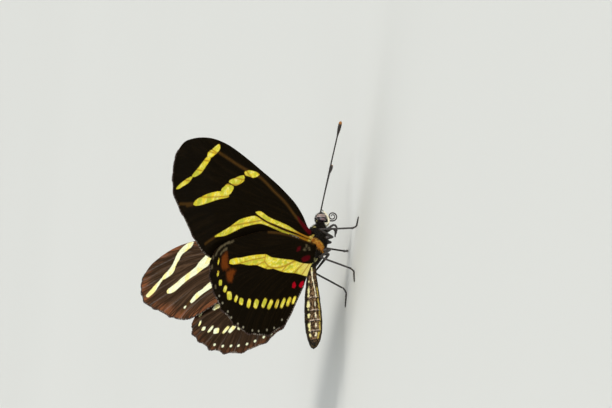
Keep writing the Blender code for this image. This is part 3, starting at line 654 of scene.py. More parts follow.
hindwingMarks = {
    "base": {"share": -1.0, "from": 6.5, "over": 6.0, "root": 0.0, "upper": 0.75},
    "under": {
        "cream": [
            [(20.8, 3.1), (20.5, 3.7), (19.1, 3.7), (17.7, 3.4), (15.8, 3.2), (13.8, 2.9), (11.8, 2.5),
             (11.0, 2.2), (9.9, 1.4), (8.1, 0.7), (6.2, 0.0), (4.3, -0.7), (2.5, -1.7), (0.6, -2.4),
             (-0.2, -2.6), (0.0, -3.6), (0.6, -4.9), (1.4, -4.8), (2.8, -4.0), (4.7, -3.1), (6.6, -2.5),
             (8.3, -1.7), (9.8, -0.9), (11.2, -0.6), (13.0, 0.4), (13.9, 0.9), (15.9, 1.4), (17.8, 2.2),
             (19.8, 2.6)],
        ],
        "red": [
            [(4.9, -4.7), (5.4, -5.0), (5.6, -5.7), (5.0, -6.0), (4.6, -5.6)],
            [(2.6, -5.3), (3.2, -5.3), (3.9, -5.9), (3.3, -6.6), (2.7, -6.1)],
        ],
        "crimson": [
            [(0.3, -0.9), (1.4, -0.7), (2.3, -0.9), (2.1, -1.5), (1.2, -1.6), (0.4, -1.5)],
            [(2.4, 1.5), (3.2, 1.4), (3.4, 0.9), (2.6, 0.9)],
        ],
        "rust": [
            [(22.4, 5.3), (21.3, 5.3), (21.1, 4.4), (21.0, 3.2), (20.9, 2.3), (21.5, 2.0), (22.3, 2.3),
             (22.8, 3.3), (22.9, 4.5)],
            [(21.7, 1.7), (20.2, 1.7), (19.3, 1.2), (19.8, 0.4), (20.5, -0.5), (21.7, -0.5), (22.0, 0.3)],
        ],
        "olive": [
            [(24.4, 5.8), (23.8, 6.4), (22.7, 6.85), (21.6, 7.05), (20.2, 7.1), (19.2, 7.05)],
            [(22.9, 5.6), (22.2, 6.0), (21.2, 6.1)], [(25.8, 4.1), (25.8, 3.7)], [(25.1, 5.7), (25.2, 5.3)],
            [(25.3, 0.1), (25.3, -0.3)], [(1.6, 0.8), (1.2, 0.45)], [(0.4, 0.8), (0.1, 0.3)],
            [(0.8, 1.4), (0.9, 1.1)],
        ],
        "ochre": [[(10.18, 6.44), (7.6, 5.6), (5.6, 4.8), (3.7, 3.9), (1.8, 2.9), (-0.1, 1.8), (-1.1, 1.2)]],
        "spots": [  # middle, width, length, direction
            ((23.7, 4.3), 0.5, 1.25, (-0.3, 1)), ((24.2, 2.1), 0.6, 1.1, (-0.56, 0.83)),
            ((23.8, 0.2), 0.95, 1.12, (-0.19, 0.98)), ((22.7, -1.3), 0.88, 1.33, (-0.69, 0.73)),
            ((22.0, -2.8), 1.3, 1.6, (-0.22, 0.98)), ((20.4, -3.8), 0.8, 1.39, (-0.69, 0.73)),
            ((19.1, -4.7), 1.15, 1.32, (-0.51, 0.86)), ((17.2, -5.6), 0.94, 1.75, (-0.63, 0.78)),
            ((15.4, -6.2), 1.1, 1.79, (-0.66, 0.75)), ((13.3, -6.6), 0.97, 1.9, (-0.69, 0.73)),
            ((11.8, -7.3), 0.96, 2.0, (-0.75, 0.66)), ((10.0, -7.7), 0.78, 1.83, (-0.69, 0.73)),
            ((8.4, -8.0), 0.8, 2.15, (-0.74, 0.67)), ((6.9, -8.2), 0.86, 1.9, (-0.66, 0.75)),
            ((5.6, -8.4), 0.7, 1.7, (-0.62, 0.78)),
        ],
        "dots": [(24.6, -2.1), (24.1, -3.6), (23.1, -5.5), (22.5, -6.8), (21.1, -8.4), (19.9, -9.4),
                 (17.7, -10.6), (16.1, -11.2), (13.9, -11.6), (11.9, -11.8), (9.5, -11.0)],
        "dotSize": 0.52,
    },
    "over": {
        "cream": [
            [(20.8, 3.3), (21.0, 3.9), (20.3, 4.5), (19.1, 4.1), (17.8, 3.5), (15.9, 3.0), (13.9, 2.7),
             (11.9, 2.3), (10.0, 1.2), (8.2, 0.6), (6.3, -0.1), (4.4, -0.8), (2.5, -1.8), (0.6, -2.4),
             (-0.2, -2.6), (0.0, -3.6), (0.6, -4.9), (1.4, -4.8), (2.8, -4.0), (4.7, -3.1), (6.6, -2.6),
             (8.4, -1.8), (9.9, -1.0), (11.3, -0.7), (13.1, 0.3), (14.0, 0.7), (16.0, 1.5), (17.9, 2.5),
             (19.9, 3.1)],
        ],
        "spots": [
            ((23.5, 5.3), 0.65, 1.4, (-0.81, 0.59)), ((24.42, 3.0), 0.6, 1.15, (-0.71, 0.7)),
            ((24.1, 0.95), 0.85, 1.0, (-0.7, -0.7)), ((22.78, -0.67), 0.7, 1.6, (-0.97, 0.26)),
            ((21.85, -2.03), 1.15, 1.3, (-0.85, -0.53)), ((20.02, -3.4), 0.72, 1.75, (-0.98, 0.21)),
            ((18.75, -4.32), 1.05, 1.9, (-0.99, 0.17)), ((17.0, -5.1), 0.9, 1.7, (-0.85, 0.53)),
            ((15.2, -5.9), 1.0, 1.75, (-0.8, 0.6)), ((13.2, -6.5), 0.95, 1.8, (-0.72, 0.69)),
            ((11.6, -7.2), 0.95, 1.9, (-0.72, 0.69)), ((9.9, -7.7), 0.8, 1.8, (-0.69, 0.73)),
            ((8.3, -8.0), 0.8, 2.0, (-0.72, 0.69)), ((6.9, -8.2), 0.85, 1.8, (-0.66, 0.75)),
        ],
        "dots": [(23.3, -4.7), (21.9, -6.4), (20.4, -7.7), (19.0, -8.9), (17.3, -10.0), (15.6, -10.7),
                 (13.7, -11.3), (12.1, -11.8)],
        "dotSize": 0.66,
    },
}


def paintWing(flat, marks, face):
    shapes, base = marks[face], marks["base"]
    found = {key: union(flat, [shapeDistance(flat, corners) for corners in shapes.get(key, [])])
             for key in ("cream", "red", "crimson", "rust")}
    for key in ("ochre", "olive"):
        found[key] = union(flat, [-lineDistance(flat, smoothLine(line, 1.0))[0]
                                  for line in shapes.get(key, [])])
    spots = [spotDistance(flat, *spot, 3.6) for spot in shapes.get("spots", [])]
    size = shapes.get("dotSize", 0)
    dots = union(flat, [spotDistance(flat, middle, size, size, (0, 1), 2.0)
                        for middle in shapes.get("dots", [])])
    upper = np.full(len(flat), base["upper"] if face == "over" else 0.0)
    warm = base["share"] * ease((base["from"] - flat[:, 0]) / base["over"])
    warm -= base["root"] * ease((0.5 - flat[:, 0]) / 0.6)
    return (np.stack([union(flat, [found["cream"], *spots]), found["red"], found["rust"]], 1),
            np.stack([found["ochre"], upper, found["olive"]], 1), np.stack([found["crimson"], dots, warm], 1))


wingColour = {
    "ground": (0.0046, 0.0027, 0.0006),
    "groundStreak": (0.0105, 0.0058, 0.0018),
    "brown": (0.029, 0.0155, 0.0075),  # the upper face; this brown and the streaks below are partly the scales' own tone, partly painted sheen of sunlit black scales
    "brownSheenStreak": (0.100, 0.056, 0.031),
    "edgeBrown": (0.215, 0.072, 0.028),
    "foldGrey": (0.200, 0.175, 0.160),
    "yellow": (0.93, 0.73, 0.036),
    # painted highlight: the pale yellow where the bands catch the light
    "light": (0.98, 0.93, 0.270),
    "green": (0.60, 0.59, 0.050),
    "border": (0.70, 0.47, 0.032),
    "palest": (0.78, 0.81, 0.55),
    "creamy": (0.84, 0.76, 0.30),
    "sallow": (0.86, 0.71, 0.18),
    "veinOchre": (0.44, 0.22, 0.02),
    "baseOchre": (0.52, 0.22, 0.015),
    "red": (0.42, 0.002, 0.012),
    "crimson": (0.085, 0.002, 0.005),
    "rust": (0.150, 0.034, 0.004),
    "ochre": (0.078, 0.036, 0.007),
    "olive": (0.105, 0.082, 0.045),
    "dot": (0.30, 0.27, 0.19),
}


def makeWingMaterial():
    newMaterial("wingScales", 0.6, 0.025)
    colour = wingColour
    gap, fold, edgeAway = parts(attribute("lines"))
    cream, red, rust = parts(attribute("marks"))
    ochre, upper, olive = parts(attribute("tones"))
    crimson, dots, warm = parts(attribute("more"))
    isOver = softStep(upper, 0.0, 0.70)
    dusky = softStep(upper, 0.95, 0.80)  # the hindwing is darker above than the forewing
    grain = attribute("grain")
    ragged = timesPlus(noiseAt(grain, 5.0, 3.0, 0.7), 0.26, -0.13)
    cloud = noiseAt(grain, 1.3, 3.0, 0.65)
    drift = noiseAt(grain, 0.70, 1.0)
    streak = noiseAt(stretched(grain, (1.9, 0.10, 1.0)), 1.0, 4.0, 0.65)
    thread = noiseAt(stretched(grain, (4.6, 0.16, 1.0)), 1.0, 2.0, 0.6)
    fleck = addNode("TexVoronoi", {"Vector": stretched(grain, (9.0, 4.5, 1.0)), "Scale": 1.0})

    # ground: nearly black under, warm brown above, lighter in streaks and along the folds; the brown above
    # and its streaks are partly painted sheen of sunlit black scales
    streaky = softStep(streak, 0.42, 0.74)
    under = blend(streaky, colour["ground"], colour["groundStreak"])
    over = blend(streaky, colour["brown"], colour["brownSheenStreak"])
    over = laid(over, thread, colour["brownSheenStreak"], 0.56, 0.86)
    warmed = times(softStep(edgeAway, 2.2, 0.1), softStep(streak, 0.36, 0.64))
    over = blend(times(warmed, timesPlus(dusky, -0.50, 1.0)), over, colour["edgeBrown"])
    outerFold = times(fold, softStep(edgeAway, 6.5, 0.5))
    over = blend(times(outerFold, 0.45), over, colour["foldGrey"])
    over = laid(over, gap, colour["brown"], 0.14, -0.04)
    over = blend(times(dusky, 0.30), over, colour["ground"])
    mixed = blend(isOver, under, over)

    def frayed(field, share=1.0):  # a mark's field with a ragged edge
        return timesPlus(ragged, share, field)

    mixed = laid(mixed, frayed(ochre), colour["ochre"], -0.50, 0.10)
    mixed = laid(mixed, frayed(timesPlus(cloud, 0.9, olive)), colour["olive"], 0.05, 0.45)
    faded = timesPlus(plus(cloud, drift), 1.0, plus(rust, -1.0))
    mixed = laid(mixed, frayed(faded), colour["rust"], -0.50, 0.60)
    mixed = laid(mixed, frayed(crimson, 1.6), colour["crimson"], -0.30, 0.15)
    mixed = laid(mixed, frayed(red, 1.5), colour["red"], -0.14, 0.12)
    mixed = laid(mixed, frayed(dots), blend(isOver, colour["dot"], colour["palest"]), -0.08, 0.16)

    # the yellow turns greener from spot to spot, paler in patches of painted highlight, and browner at its
    # border
    pale = blend(softStep(cloud, 0.44, 0.66), colour["yellow"], colour["light"])
    pale = laid(pale, timesPlus(cloud, -0.15, drift), colour["green"], 0.30, 0.58)
    pale = blend(times(softStep(thread, 0.54, 0.74), 0.40), pale, colour["border"])
    pale = laid(pale, frayed(cream, 1.4), colour["border"], 0.14, -0.06)
    pale = blend(times(softStep(gap, 0.30, 0.0), 0.45), pale, colour["border"])
    pale = laid(pale, warm, colour["baseOchre"], 0.1, 0.9)
    pale = laid(pale, warm, colour["sallow"], -0.2, -1.2)
    above = blend(softStep(drift, 0.44, 0.64), colour["palest"], colour["creamy"])
    pale = blend(isOver, pale, above)
    vein = times(softStep(gap, 0.05, -0.04), timesPlus(isOver, -0.55, 0.70))
    pale = blend(vein, pale, colour["veinOchre"])
    mixed = laid(mixed, frayed(cream), pale, -0.07, 0.09)
    shade = timesPlus(parts(fleck.outputs["Color"])[0], 0.22, 0.88)
    return finishMaterial(shaded(mixed, shade), fleck.outputs["Distance"], 0.35, 0.00004)


# Wing fringes: short hair-scales round the outer edges

fringe = {
    "every": 0.05, "stray": 0.02, "sunk": 0.14, "lean": 0.16, "lift": 0.03,
    "reach": 0.21, "reachVaries": (0.6, 1.15), "width": 0.10, "widthVaries": (0.7, 1.2),
    "thick": 0.035, "tipThick": 0.4,  # and the tip's share of it
    "dark": [(0.020, 0.012, 0.009), (0.070, 0.040, 0.030)], "white": (0.22, 0.19, 0.15),
}


def makeFringe(kind, sizes, outline, placeOf, ends):
    closed = ringOf(outline)
    lengths = np.concatenate([[0], np.cumsum(np.linalg.norm(np.diff(closed, axis=0), axis=1))])
    at = np.arange(0, lengths[-1], fringe["every"])
    at = at + dice.uniform(-fringe["stray"], fringe["stray"], len(at))
    base = valuesAt(at, lengths, closed)
    along = unit(valuesAt(at + 0.2, lengths, closed) - base)
    out = np.stack([along[:, 1], -along[:, 0]], 1)
    out[insideShape(base + out * 0.1, outline)] *= -1
    outer = (base[:, 0] > sizes["from"]) & (base[:, 1] < sizes["below"])
    base, out, along = base[outer], out[outer], along[outer]
    count = len(base)
    nearVein = nearestOf(base, ends)
    white = ease((nearVein - 0.9) / 0.5) * (dice.random(count) < sizes["white"])
    reach = (fringe["reach"] * dice.uniform(*fringe["reachVaries"], count)
             * (1.25 - 0.45 * ease(nearVein / 1.2)))
    tip = base + (out + along * dice.normal(0, fringe["lean"], count)[:, None]) * reach[:, None]
    root = base - out * fringe["sunk"]
    half = along * fringe["width"] / 2 * dice.uniform(*fringe["widthVaries"], count)[:, None]
    normal = wingNormal(placeOf, *base.T)
    lift = normal * dice.normal(0, fringe["lift"], count)[:, None]
    solid = []
    for end, side, share in ((root, half, 1), (root, -half, 1), (tip, half / 2, fringe["tipThick"]),
                             (tip, -half / 2, fringe["tipThick"])):
        middle, thick = placeOf(*(end + side).T) + lift, normal * fringe["thick"] * share
        solid += [middle + thick, middle - thick]
    corners = [(6, 2, 0), (4, 6, 0), (3, 7, 1), (7, 5, 1), (5, 4, 0), (1, 5, 0), (7, 3, 2), (6, 7, 2),
               (7, 6, 4), (5, 7, 4), (3, 1, 0), (2, 3, 0)]
    look = np.repeat(np.stack([white, dice.random(count), np.zeros(count)], 1), 8, axis=0)
    addBoth(kind + "_{}_fringe", np.stack(solid, 1).reshape(-1, 3), repeated(corners, count, 8),
            fringeMaterial, "wing", (), {"look": look})


def makeFringeMaterial():
    newMaterial("wingFringe", 0.8, 0.2)
    white, own, _ = parts(attribute("look"))
    return finishMaterial(blend(white, blend(own, *fringe["dark"]), fringe["white"]))


# Body: one skin from the head to the abdomen's tip

skin = {
    "sections": [  # y, z, half width, half height
        (-5.60, -2.12, 0.03, 0.03), (-5.50, -2.12, 0.40, 0.42), (-5.28, -2.11, 0.70, 0.74),
        (-4.95, -2.10, 0.92, 0.97), (-4.50, -2.08, 1.03, 1.10), (-4.00, -2.04, 0.95, 1.02),
        (-3.65, -2.00, 0.74, 0.80), (-3.45, -1.98, 0.66, 0.72), (-3.20, -1.93, 0.78, 0.86),
        (-2.80, -1.80, 1.04, 1.16), (-1.80, -1.48, 1.55, 1.75), (-0.30, -1.18, 1.86, 2.07),
        (1.30, -1.05, 1.85, 2.08), (2.90, -0.95, 1.55, 1.75), (4.10, -0.85, 1.12, 1.22),
        (4.80, -0.78, 0.80, 0.84), (5.20, -0.76, 0.74, 0.77), (6.20, -0.80, 0.80, 0.84),
        (7.60, -0.88, 0.90, 0.95), (10.50, -1.08, 1.22, 1.30), (13.30, -1.32, 1.46, 1.54),
        (16.10, -1.58, 1.55, 1.63), (18.30, -1.76, 1.41, 1.48), (19.80, -1.85, 1.12, 1.16),
        (20.80, -1.85, 0.76, 0.79), (21.30, -1.82, 0.44, 0.46), (21.66, -1.80, 0.03, 0.03),
    ],
    "ringStep": 0.085,
    "around": 84,
    "joints": [6.9, 9.1, 12.0, 14.65, 16.65, 18.65, 20.2],  # y of the abdomen's ring edges
    "ringRise": 0.075,
    "fold": 0.05,  # depth of the soft fold along the flank
    "foldAngle": 112,  # degrees from the back
    "foldWidth": 0.10,
    "chestEnd": 5.3,
    "tailStart": 21.4,
    # y, slant, width and depth, on the chest
    "grooves": [(-1.75, 0.0, 0.22, 0.09), (3.40, 0.3, 0.20, 0.072)],
    "seam": (0.10, 0.06),  # width and depth of the groove along the back
    "plate": (0.6, 0.9, 0.16, 0.08),  # a groove down each flank
    "brow": (-5.05, 0.0, 0.22, 0.10),  # a rise between the eyes
}


def skinProfile():  # way along the skin, then y, z, half width and half height
    line = smoothLine(skin["sections"], 0.03)
    steps = np.hypot(np.diff(line[:, 0]), np.diff(line[:, 3]))
    return np.column_stack([np.concatenate([[0], np.cumsum(steps)]), line])


skinTable = skinProfile()
skinLength = skinTable[-1, 0]


def skinRelief(y, t):
    start, end = skin["chestEnd"], skin["tailStart"]
    joints = np.array([start, *skin["joints"], end])
    index = np.clip(np.searchsorted(joints, y) - 1, 0, len(joints) - 2)
    share = (y - joints[index]) / (joints[index + 1] - joints[index])
    ring = np.sqrt(np.clip(share, 0, 1)) * (1 - ease((share - 0.90) / 0.10)) - 0.35
    ring = np.where((y > start) & (y < end), ring, 0) * skin["ringRise"]
    angle = np.radians(skin["foldAngle"])
    flank = sum(bell(np.abs(np.sin((t - turn) / 2)) * 2, skin["foldWidth"]) for turn in (angle, -angle))
    flank = flank * ease((y - 6) / 2) * ease((20.5 - y) / 2) * skin["fold"]
    top = np.cos(t)

    def across(at, slant, width, depth):
        return depth * bell(y - at - slant * top, width)

    width, depth = skin["seam"]
    chest = sum(across(*groove) for groove in skin["grooves"])
    chest = chest + depth * bell(np.sin(t), width) * ease(top * 3) * (y < 3) * (y > -3)
    chest = chest + across(*skin["plate"]) * ease((0.35 - top) / 0.3)
    onChest = ease((y + 3.3) / 0.5) * ease((5 - y) / 0.6)
    return ring - flank - chest * onChest + across(*skin["brow"]) * ease((top - 0.2) / 0.5)


def skinPlace(s, t):
    y, z, wide, high = np.moveaxis(valuesAt(s, skinTable[:, 0], skinTable[:, 1:]), -1, 0)
    rise = skinRelief(y, t) * ease(wide / 0.5)
    return np.stack([(wide + rise) * np.sin(t), y, z + (high + rise) * np.cos(t)], -1)


def skinNormal(s, t, tiny=0.01):
    along = skinPlace(s + tiny, t) - skinPlace(s - tiny, t)
    across = skinPlace(s, t + tiny) - skinPlace(s, t - tiny)
    return unit(np.cross(across, along)), unit(along)


bodyMarks = {
    "backSpots": {"angle": 52, "spots": [  # y, length, width
        (8.65, 0.55, 0.36), (10.45, 1.9, 0.44), (11.6, 0.45, 0.44), (13.35, 1.5, 0.66), (14.35, 0.3, 0.40),
        (15.55, 1.05, 0.56), (17.5, 1.2, 0.54), (18.3, 0.35, 0.36), (19.35, 0.6, 0.40)]},
    "flankSpots": {"angle": 100, "spots": [
        (13.0, 1.3, 0.22), (15.3, 1.3, 0.34), (17.5, 1.2, 0.34), (19.1, 0.8, 0.30)]},
    "flankHalf": 0.13,  # half width
    # y and angle from the back
    "flankLine": [(5.6, 80), (6.4, 84), (7.7, 87), (8.6, 96), (9.7, 106), (11.6, 111)],
    "bellyHalf": 0.19,
    "bellyLine": [(9.4, 131), (12.6, 131), (15.9, 132), (17.5, 131), (18.9, 127), (19.9, 123)],
    "ochre": [(1.60, 0.1, 0.15), (1.80, 0.45, -0.6), (1.75, 1.13, -1.67), (1.15, 1.88, -2.62),
              (0.4, 2.4, -3.05)],
    "ochreHalf": [0.34, 0.56, 0.68, 0.60, 0.32],
    "ringHalf": 0.11,
    "slant": 0.006,  # how far the rings lean forward down the flank, for each degree
    "arcHalf": 0.07,
    "arcAhead": 0.24,
    "whites": [  # x, y, z, radius
        (1.74, -0.05, -0.30, 0.30), (1.36, 0.6, 0.37, 0.18), (1.37, 2.36, 0.1, 0.16),
        (1.47, 2.84, -0.35, 0.16), (1.11, 4.02, -1.2, 0.18), (1.24, 3.75, -0.9, 0.17),
        (0.98, 3.94, -1.6, 0.14), (0.82, 4.75, -0.71, 0.20), (1.1, -2.4, -0.95, 0.24),
        (0.55, -2.9, -0.75, 0.20), (0.55, -3.9, -1.15, 0.18), (0.95, -3.8, -2.7, 0.22),
        (0.30, -5.20, -1.35, 0.17), (0.45, -5.45, -1.95, 0.14),
    ],
    "backHalf": 0.09,
    "backLines": [[(0.62, -1.3, 0.55), (0.70, 0.5, 0.95), (0.62, 2.4, 0.70), (0.40, 4.0, 0.25)]],
}


def paintBody(points, t):  # marks as signed distances, mirrored on both sides
    there = points * 1.0
    there[:, 0] = np.abs(there[:, 0])
    y = there[:, 1]
    angle = np.abs((np.degrees(t) + 180) % 360 - 180)
    radius = np.interp(y, [5, 10.5, 16, 21.5], [0.8, 1.3, 1.65, 0.5])

    def stripe(line, half):  # along angles from the back
        line = np.array(line, float)
        away = np.abs(np.radians(angle - np.interp(y, *line.T))) * radius
        return np.where((y > line[0, 0]) & (y < line[-1, 0]), half - away, farOut)

    pale = [stripe(bodyMarks["flankLine"], bodyMarks["flankHalf"])]
    for row in ("backSpots", "flankSpots"):
        across = np.radians(angle) * radius - np.radians(bodyMarks[row]["angle"]) * radius
        pale += [spotDistance(np.stack([across, y - at], 1), (0, 0), width, length, (0, 1), 2.4)
                 for at, length, width in bodyMarks[row]["spots"]]
    pale += [reach - np.linalg.norm(there - np.array(middle), axis=1)
             for *middle, reach in bodyMarks["whites"]]
    pale += [bodyMarks["backHalf"] - lineDistance(there, smoothLine(row, 0.4))[0]
             for row in bodyMarks["backLines"]]
    away, share = lineDistance(there, smoothLine(bodyMarks["ochre"], 0.3))
    halves = bodyMarks["ochreHalf"]
    ochre = np.interp(share, np.linspace(0, 1, len(halves)), halves) - away
    slant = (angle - 84) * bodyMarks["slant"]
    arcs = [np.minimum(bodyMarks["arcHalf"] - np.abs(y - at + bodyMarks["arcAhead"] + slant),
                       (36 - np.abs(angle - 92)) / 40)
            for at in skin["joints"][2:-1]]  # a thin pink arc before each dark ring
    ring = np.abs(y[:, None] - np.array(skin["joints"])[None] + slant[:, None]).min(1)
    dark = np.where(y > 6, bodyMarks["ringHalf"] - ring, farOut)
    flank = (ease((angle - 30) / 40) * ease((158 - angle) / 20)
             * ease((y - 5.6) / 1.2) * ease((20.9 - y) / 1.2))
    yellow = stripe(bodyMarks["bellyLine"], bodyMarks["bellyHalf"])
    return {"marks": np.stack([union(y, pale), ochre, yellow], 1),
            "tones": np.stack([flank, dark, union(y, arcs)], 1)}


def onMap(share):  # within the margins of the unwrapped surface
    return 0.02 + 0.96 * share


def skinUv(s, t):
    return np.stack([onMap(t % (2 * math.pi) / (2 * math.pi)), onMap(s / skinLength)], -1)


def makeSkin():
    around = skin["around"]
    rings = round(skinLength / skin["ringStep"])
    s = np.linspace(0.02, skinLength - 0.02, rings)
    t = np.arange(around) * 2 * math.pi / around
    grid = skinPlace(*[g.ravel() for g in np.meshgrid(s, t, indexing="ij")])
    ends = [(0, *skin["sections"][k][:2]) for k in (0, -1)]
    points = np.vstack([grid, ends])
    ring, k = np.divmod(np.arange((rings - 1) * around), around)
    left, right = onMap(k / around), onMap((k + 1) / around)
    low, high = onMap(s[ring] / skinLength), onMap(s[ring + 1] / skinLength)
    tube = np.stack([left, low, right, low, right, high, left, low, right, high, left, high], 1)
    left, right, one = left[:around], right[:around], np.ones(around)
    caps = np.stack([(left + right) / 2, one * 0.01, right, one * 0.02, left, one * 0.02,
                     left, one * 0.98, right, one * 0.98, (left + right) / 2, one * 0.99], 1)
    attributes = {**paintBody(points, np.append(np.tile(t, rings), [0, 0])),
                  "lock": np.zeros((len(points), 3))}
    faces = ringFaces(rings, around)
    addPiece("body_skin", points, faces, skinMaterial, ["head", "thorax", "abdomen"], attributes,
             np.vstack([tube, caps]).reshape(-1, 2))
    print("skin", len(faces), "triangles")


def spreadRoots(spacing, low, high):  # even, slightly shaken places on the skin between two y, off the eyes
    found = []
    for k, at in enumerate(np.arange(0.05, skinLength - 0.05, spacing)):
        y, _, wide, tall = valuesAt(at, skinTable[:, 0], skinTable[:, 1:])
        if not low <= y <= high:
            continue
        count = max(4, round(math.pi * (wide + tall) / spacing))
        turns = (np.arange(count) + 0.5 * (k % 2)) * 2 * math.pi / count
        found.append(np.stack([np.full(count, at), turns], 1))
    found = np.vstack(found)
    stray = lock["rootStray"] * spacing
    found[:, 0] += dice.uniform(-1, 1, len(found)) * stray
    found[:, 1] += dice.uniform(-1, 1, len(found)) * stray / 1.5
    place = skinPlace(*found.T)
    place[:, 0] = np.abs(place[:, 0])
    offset = (place - eye["middle"]) / (np.array(eye["halves"]) + eye["room"])
    return found[(offset ** 2).sum(1) >= 1]


lock = {
    "sunk": 0.04,
    "bend": 0.55, "bendWidth": 0.75, "lift": 0.9,  # where a lock bends, and how wide it is there
    "stray": 0.22, "riseVaries": (0.6, 1.35), "lengthVaries": (0.65, 1.2), "widthVaries": (0.7, 1.3),
    "rootStray": 0.4,
}


def addLocks(name, roots, normal, lie, length, width, rise, curl, material, slotName, attributes, places):
    # each lock is a three-sided spike in two lengths, its root sunk in what carries it
    count = len(roots)
    length, half, rise = (np.broadcast_to(values, count)[:, None] for values in (length, width / 2, rise))
    across = unit(np.cross(normal, lie))
    start = unit(lie * np.cos(rise) + normal * np.sin(rise))
    base = roots - normal * lock["sunk"]
    middle = base + start * (length * lock["bend"])
    tip = middle + unit(start - normal * curl) * (length * (1 - lock["bend"]))
    lift = unit(np.cross(across, start)) * half
    rings = []
    for place, size in ((base, 1.0), (middle, lock["bendWidth"])):
        rings += [place + across * half * size, place - across * half * size,
                  place - lift * lock["lift"] * size]
    corners = [(1, 2, 0), (4, 1, 0), (3, 4, 0), (5, 2, 1), (4, 5, 1), (3, 0, 2), (5, 3, 2),
               (6, 4, 3), (6, 5, 4), (6, 3, 5)]
    spread = np.array([(-1, -1.4), (1, -1.4), (0, -1.2), (-0.8, 0.2), (0.8, 0.2), (0, 0.4), (0, 1.5)]) * 0.001
    uv = (places[:, None] + spread[None])[:, corners].reshape(-1, 2)
    along = np.tile([0, 0, 0, *[lock["bend"]] * 3, 1.0], count)
    own = {key: np.repeat(values, 7, axis=0) for key, values in attributes.items()}
    own["lock"] = np.stack([along, np.repeat(dice.random(count), 7), np.ones(count * 7)], 1)
    points = np.stack(rings + [tip], 1).reshape(-1, 3)
    addPiece(name, points, repeated(corners, count, 7), material, (), own, uv)


def addHair(kind, share, line, way, normal, look, turnShare, sizesOf, curl, material, slotName):
    # hair round a limb, lying along it; sizesOf draws length, width and rise afresh for each side
    roots = valuesAt(share, np.linspace(0, 1, len(line)), line)
    roots = roots[:, :3] + normal * roots[:, 3:]
    places = np.stack([onMap(share), onMap(turnShare)], 1)
    for name, side in sides.items():
        flip = np.array([side, 1, 1])
        addLocks(kind + "_" + name + "_hair", roots * flip, normal * flip, way * flip, *sizesOf(), curl,
                 material, slotName, {"look": look}, places)


coat = {  # rise in degrees
    "chest": {"from": -3.35, "to": 4.9, "spacing": 0.155, "length": 0.62, "width": 0.085,
              "rise": 34, "curl": 0.45},
    "head": {"from": -5.6, "to": -3.3, "spacing": 0.13, "length": 0.42, "width": 0.065,
             "rise": 44, "curl": 0.3},
    "abdomen": {"from": 4.9, "to": 21.6, "spacing": 0.165, "length": 0.30, "width": 0.120,
                "rise": 8, "curl": 0.12},
}


def makeCoat():
    for name, sizes in coat.items():
        roots = spreadRoots(sizes["spacing"], sizes["from"], sizes["to"])
        s, t = roots.T
        place = skinPlace(s, t)
        normal, rear = skinNormal(s, t)
        count = len(roots)
        shake = dice.normal(0, lock["stray"], (count, 3))
        lie = rear + shake
        rise = np.radians(sizes["rise"]) * dice.uniform(*lock["riseVaries"], count)
        length = sizes["length"] * dice.uniform(*lock["lengthVaries"], count)
        if name == "head":  # between the eyes the hair stands forward and up
            frons = ease((-4.6 - place[:, 1]) / 0.5)[:, None]
            lie = rear * (1 - 1.6 * frons) + np.array([0, 0, 0.5]) * frons + shake
        if name == "chest":
            length *= 1 + 0.35 * ease((place[:, 2] + 2.6) / -0.6) + 0.2 * ease((place[:, 1] + 2.0) / -1.0)
        lie = unit(lie - normal * np.einsum("ij,ij->i", lie, normal)[:, None])
        width = sizes["width"] * dice.uniform(*lock["widthVaries"], count)
        addLocks("coat_" + name, place, normal, lie, length, width, rise, sizes["curl"], coatMaterial, "body",
                 paintBody(place, t), skinUv(s, t))
        print("coat", name, count, "locks")


bodyColour = {
    "black": (0.006, 0.004, 0.002),
    "hairTip": (0.028, 0.019, 0.009),
    "brown": (0.034, 0.017, 0.005),
    "flank": (0.27, 0.16, 0.080),
    "pale": (0.90, 0.82, 0.36),
    "chalk": (0.92, 0.82, 0.58),
    "arc": (0.58, 0.45, 0.34),
    "back": (0.105, 0.062, 0.022),
    "yellow": (0.56, 0.42, 0.08),
    "ochre": (0.55, 0.19, 0.018),
    # painted highlight on the ochre stripe
    "ochreHighlight": (0.74, 0.42, 0.06),
}


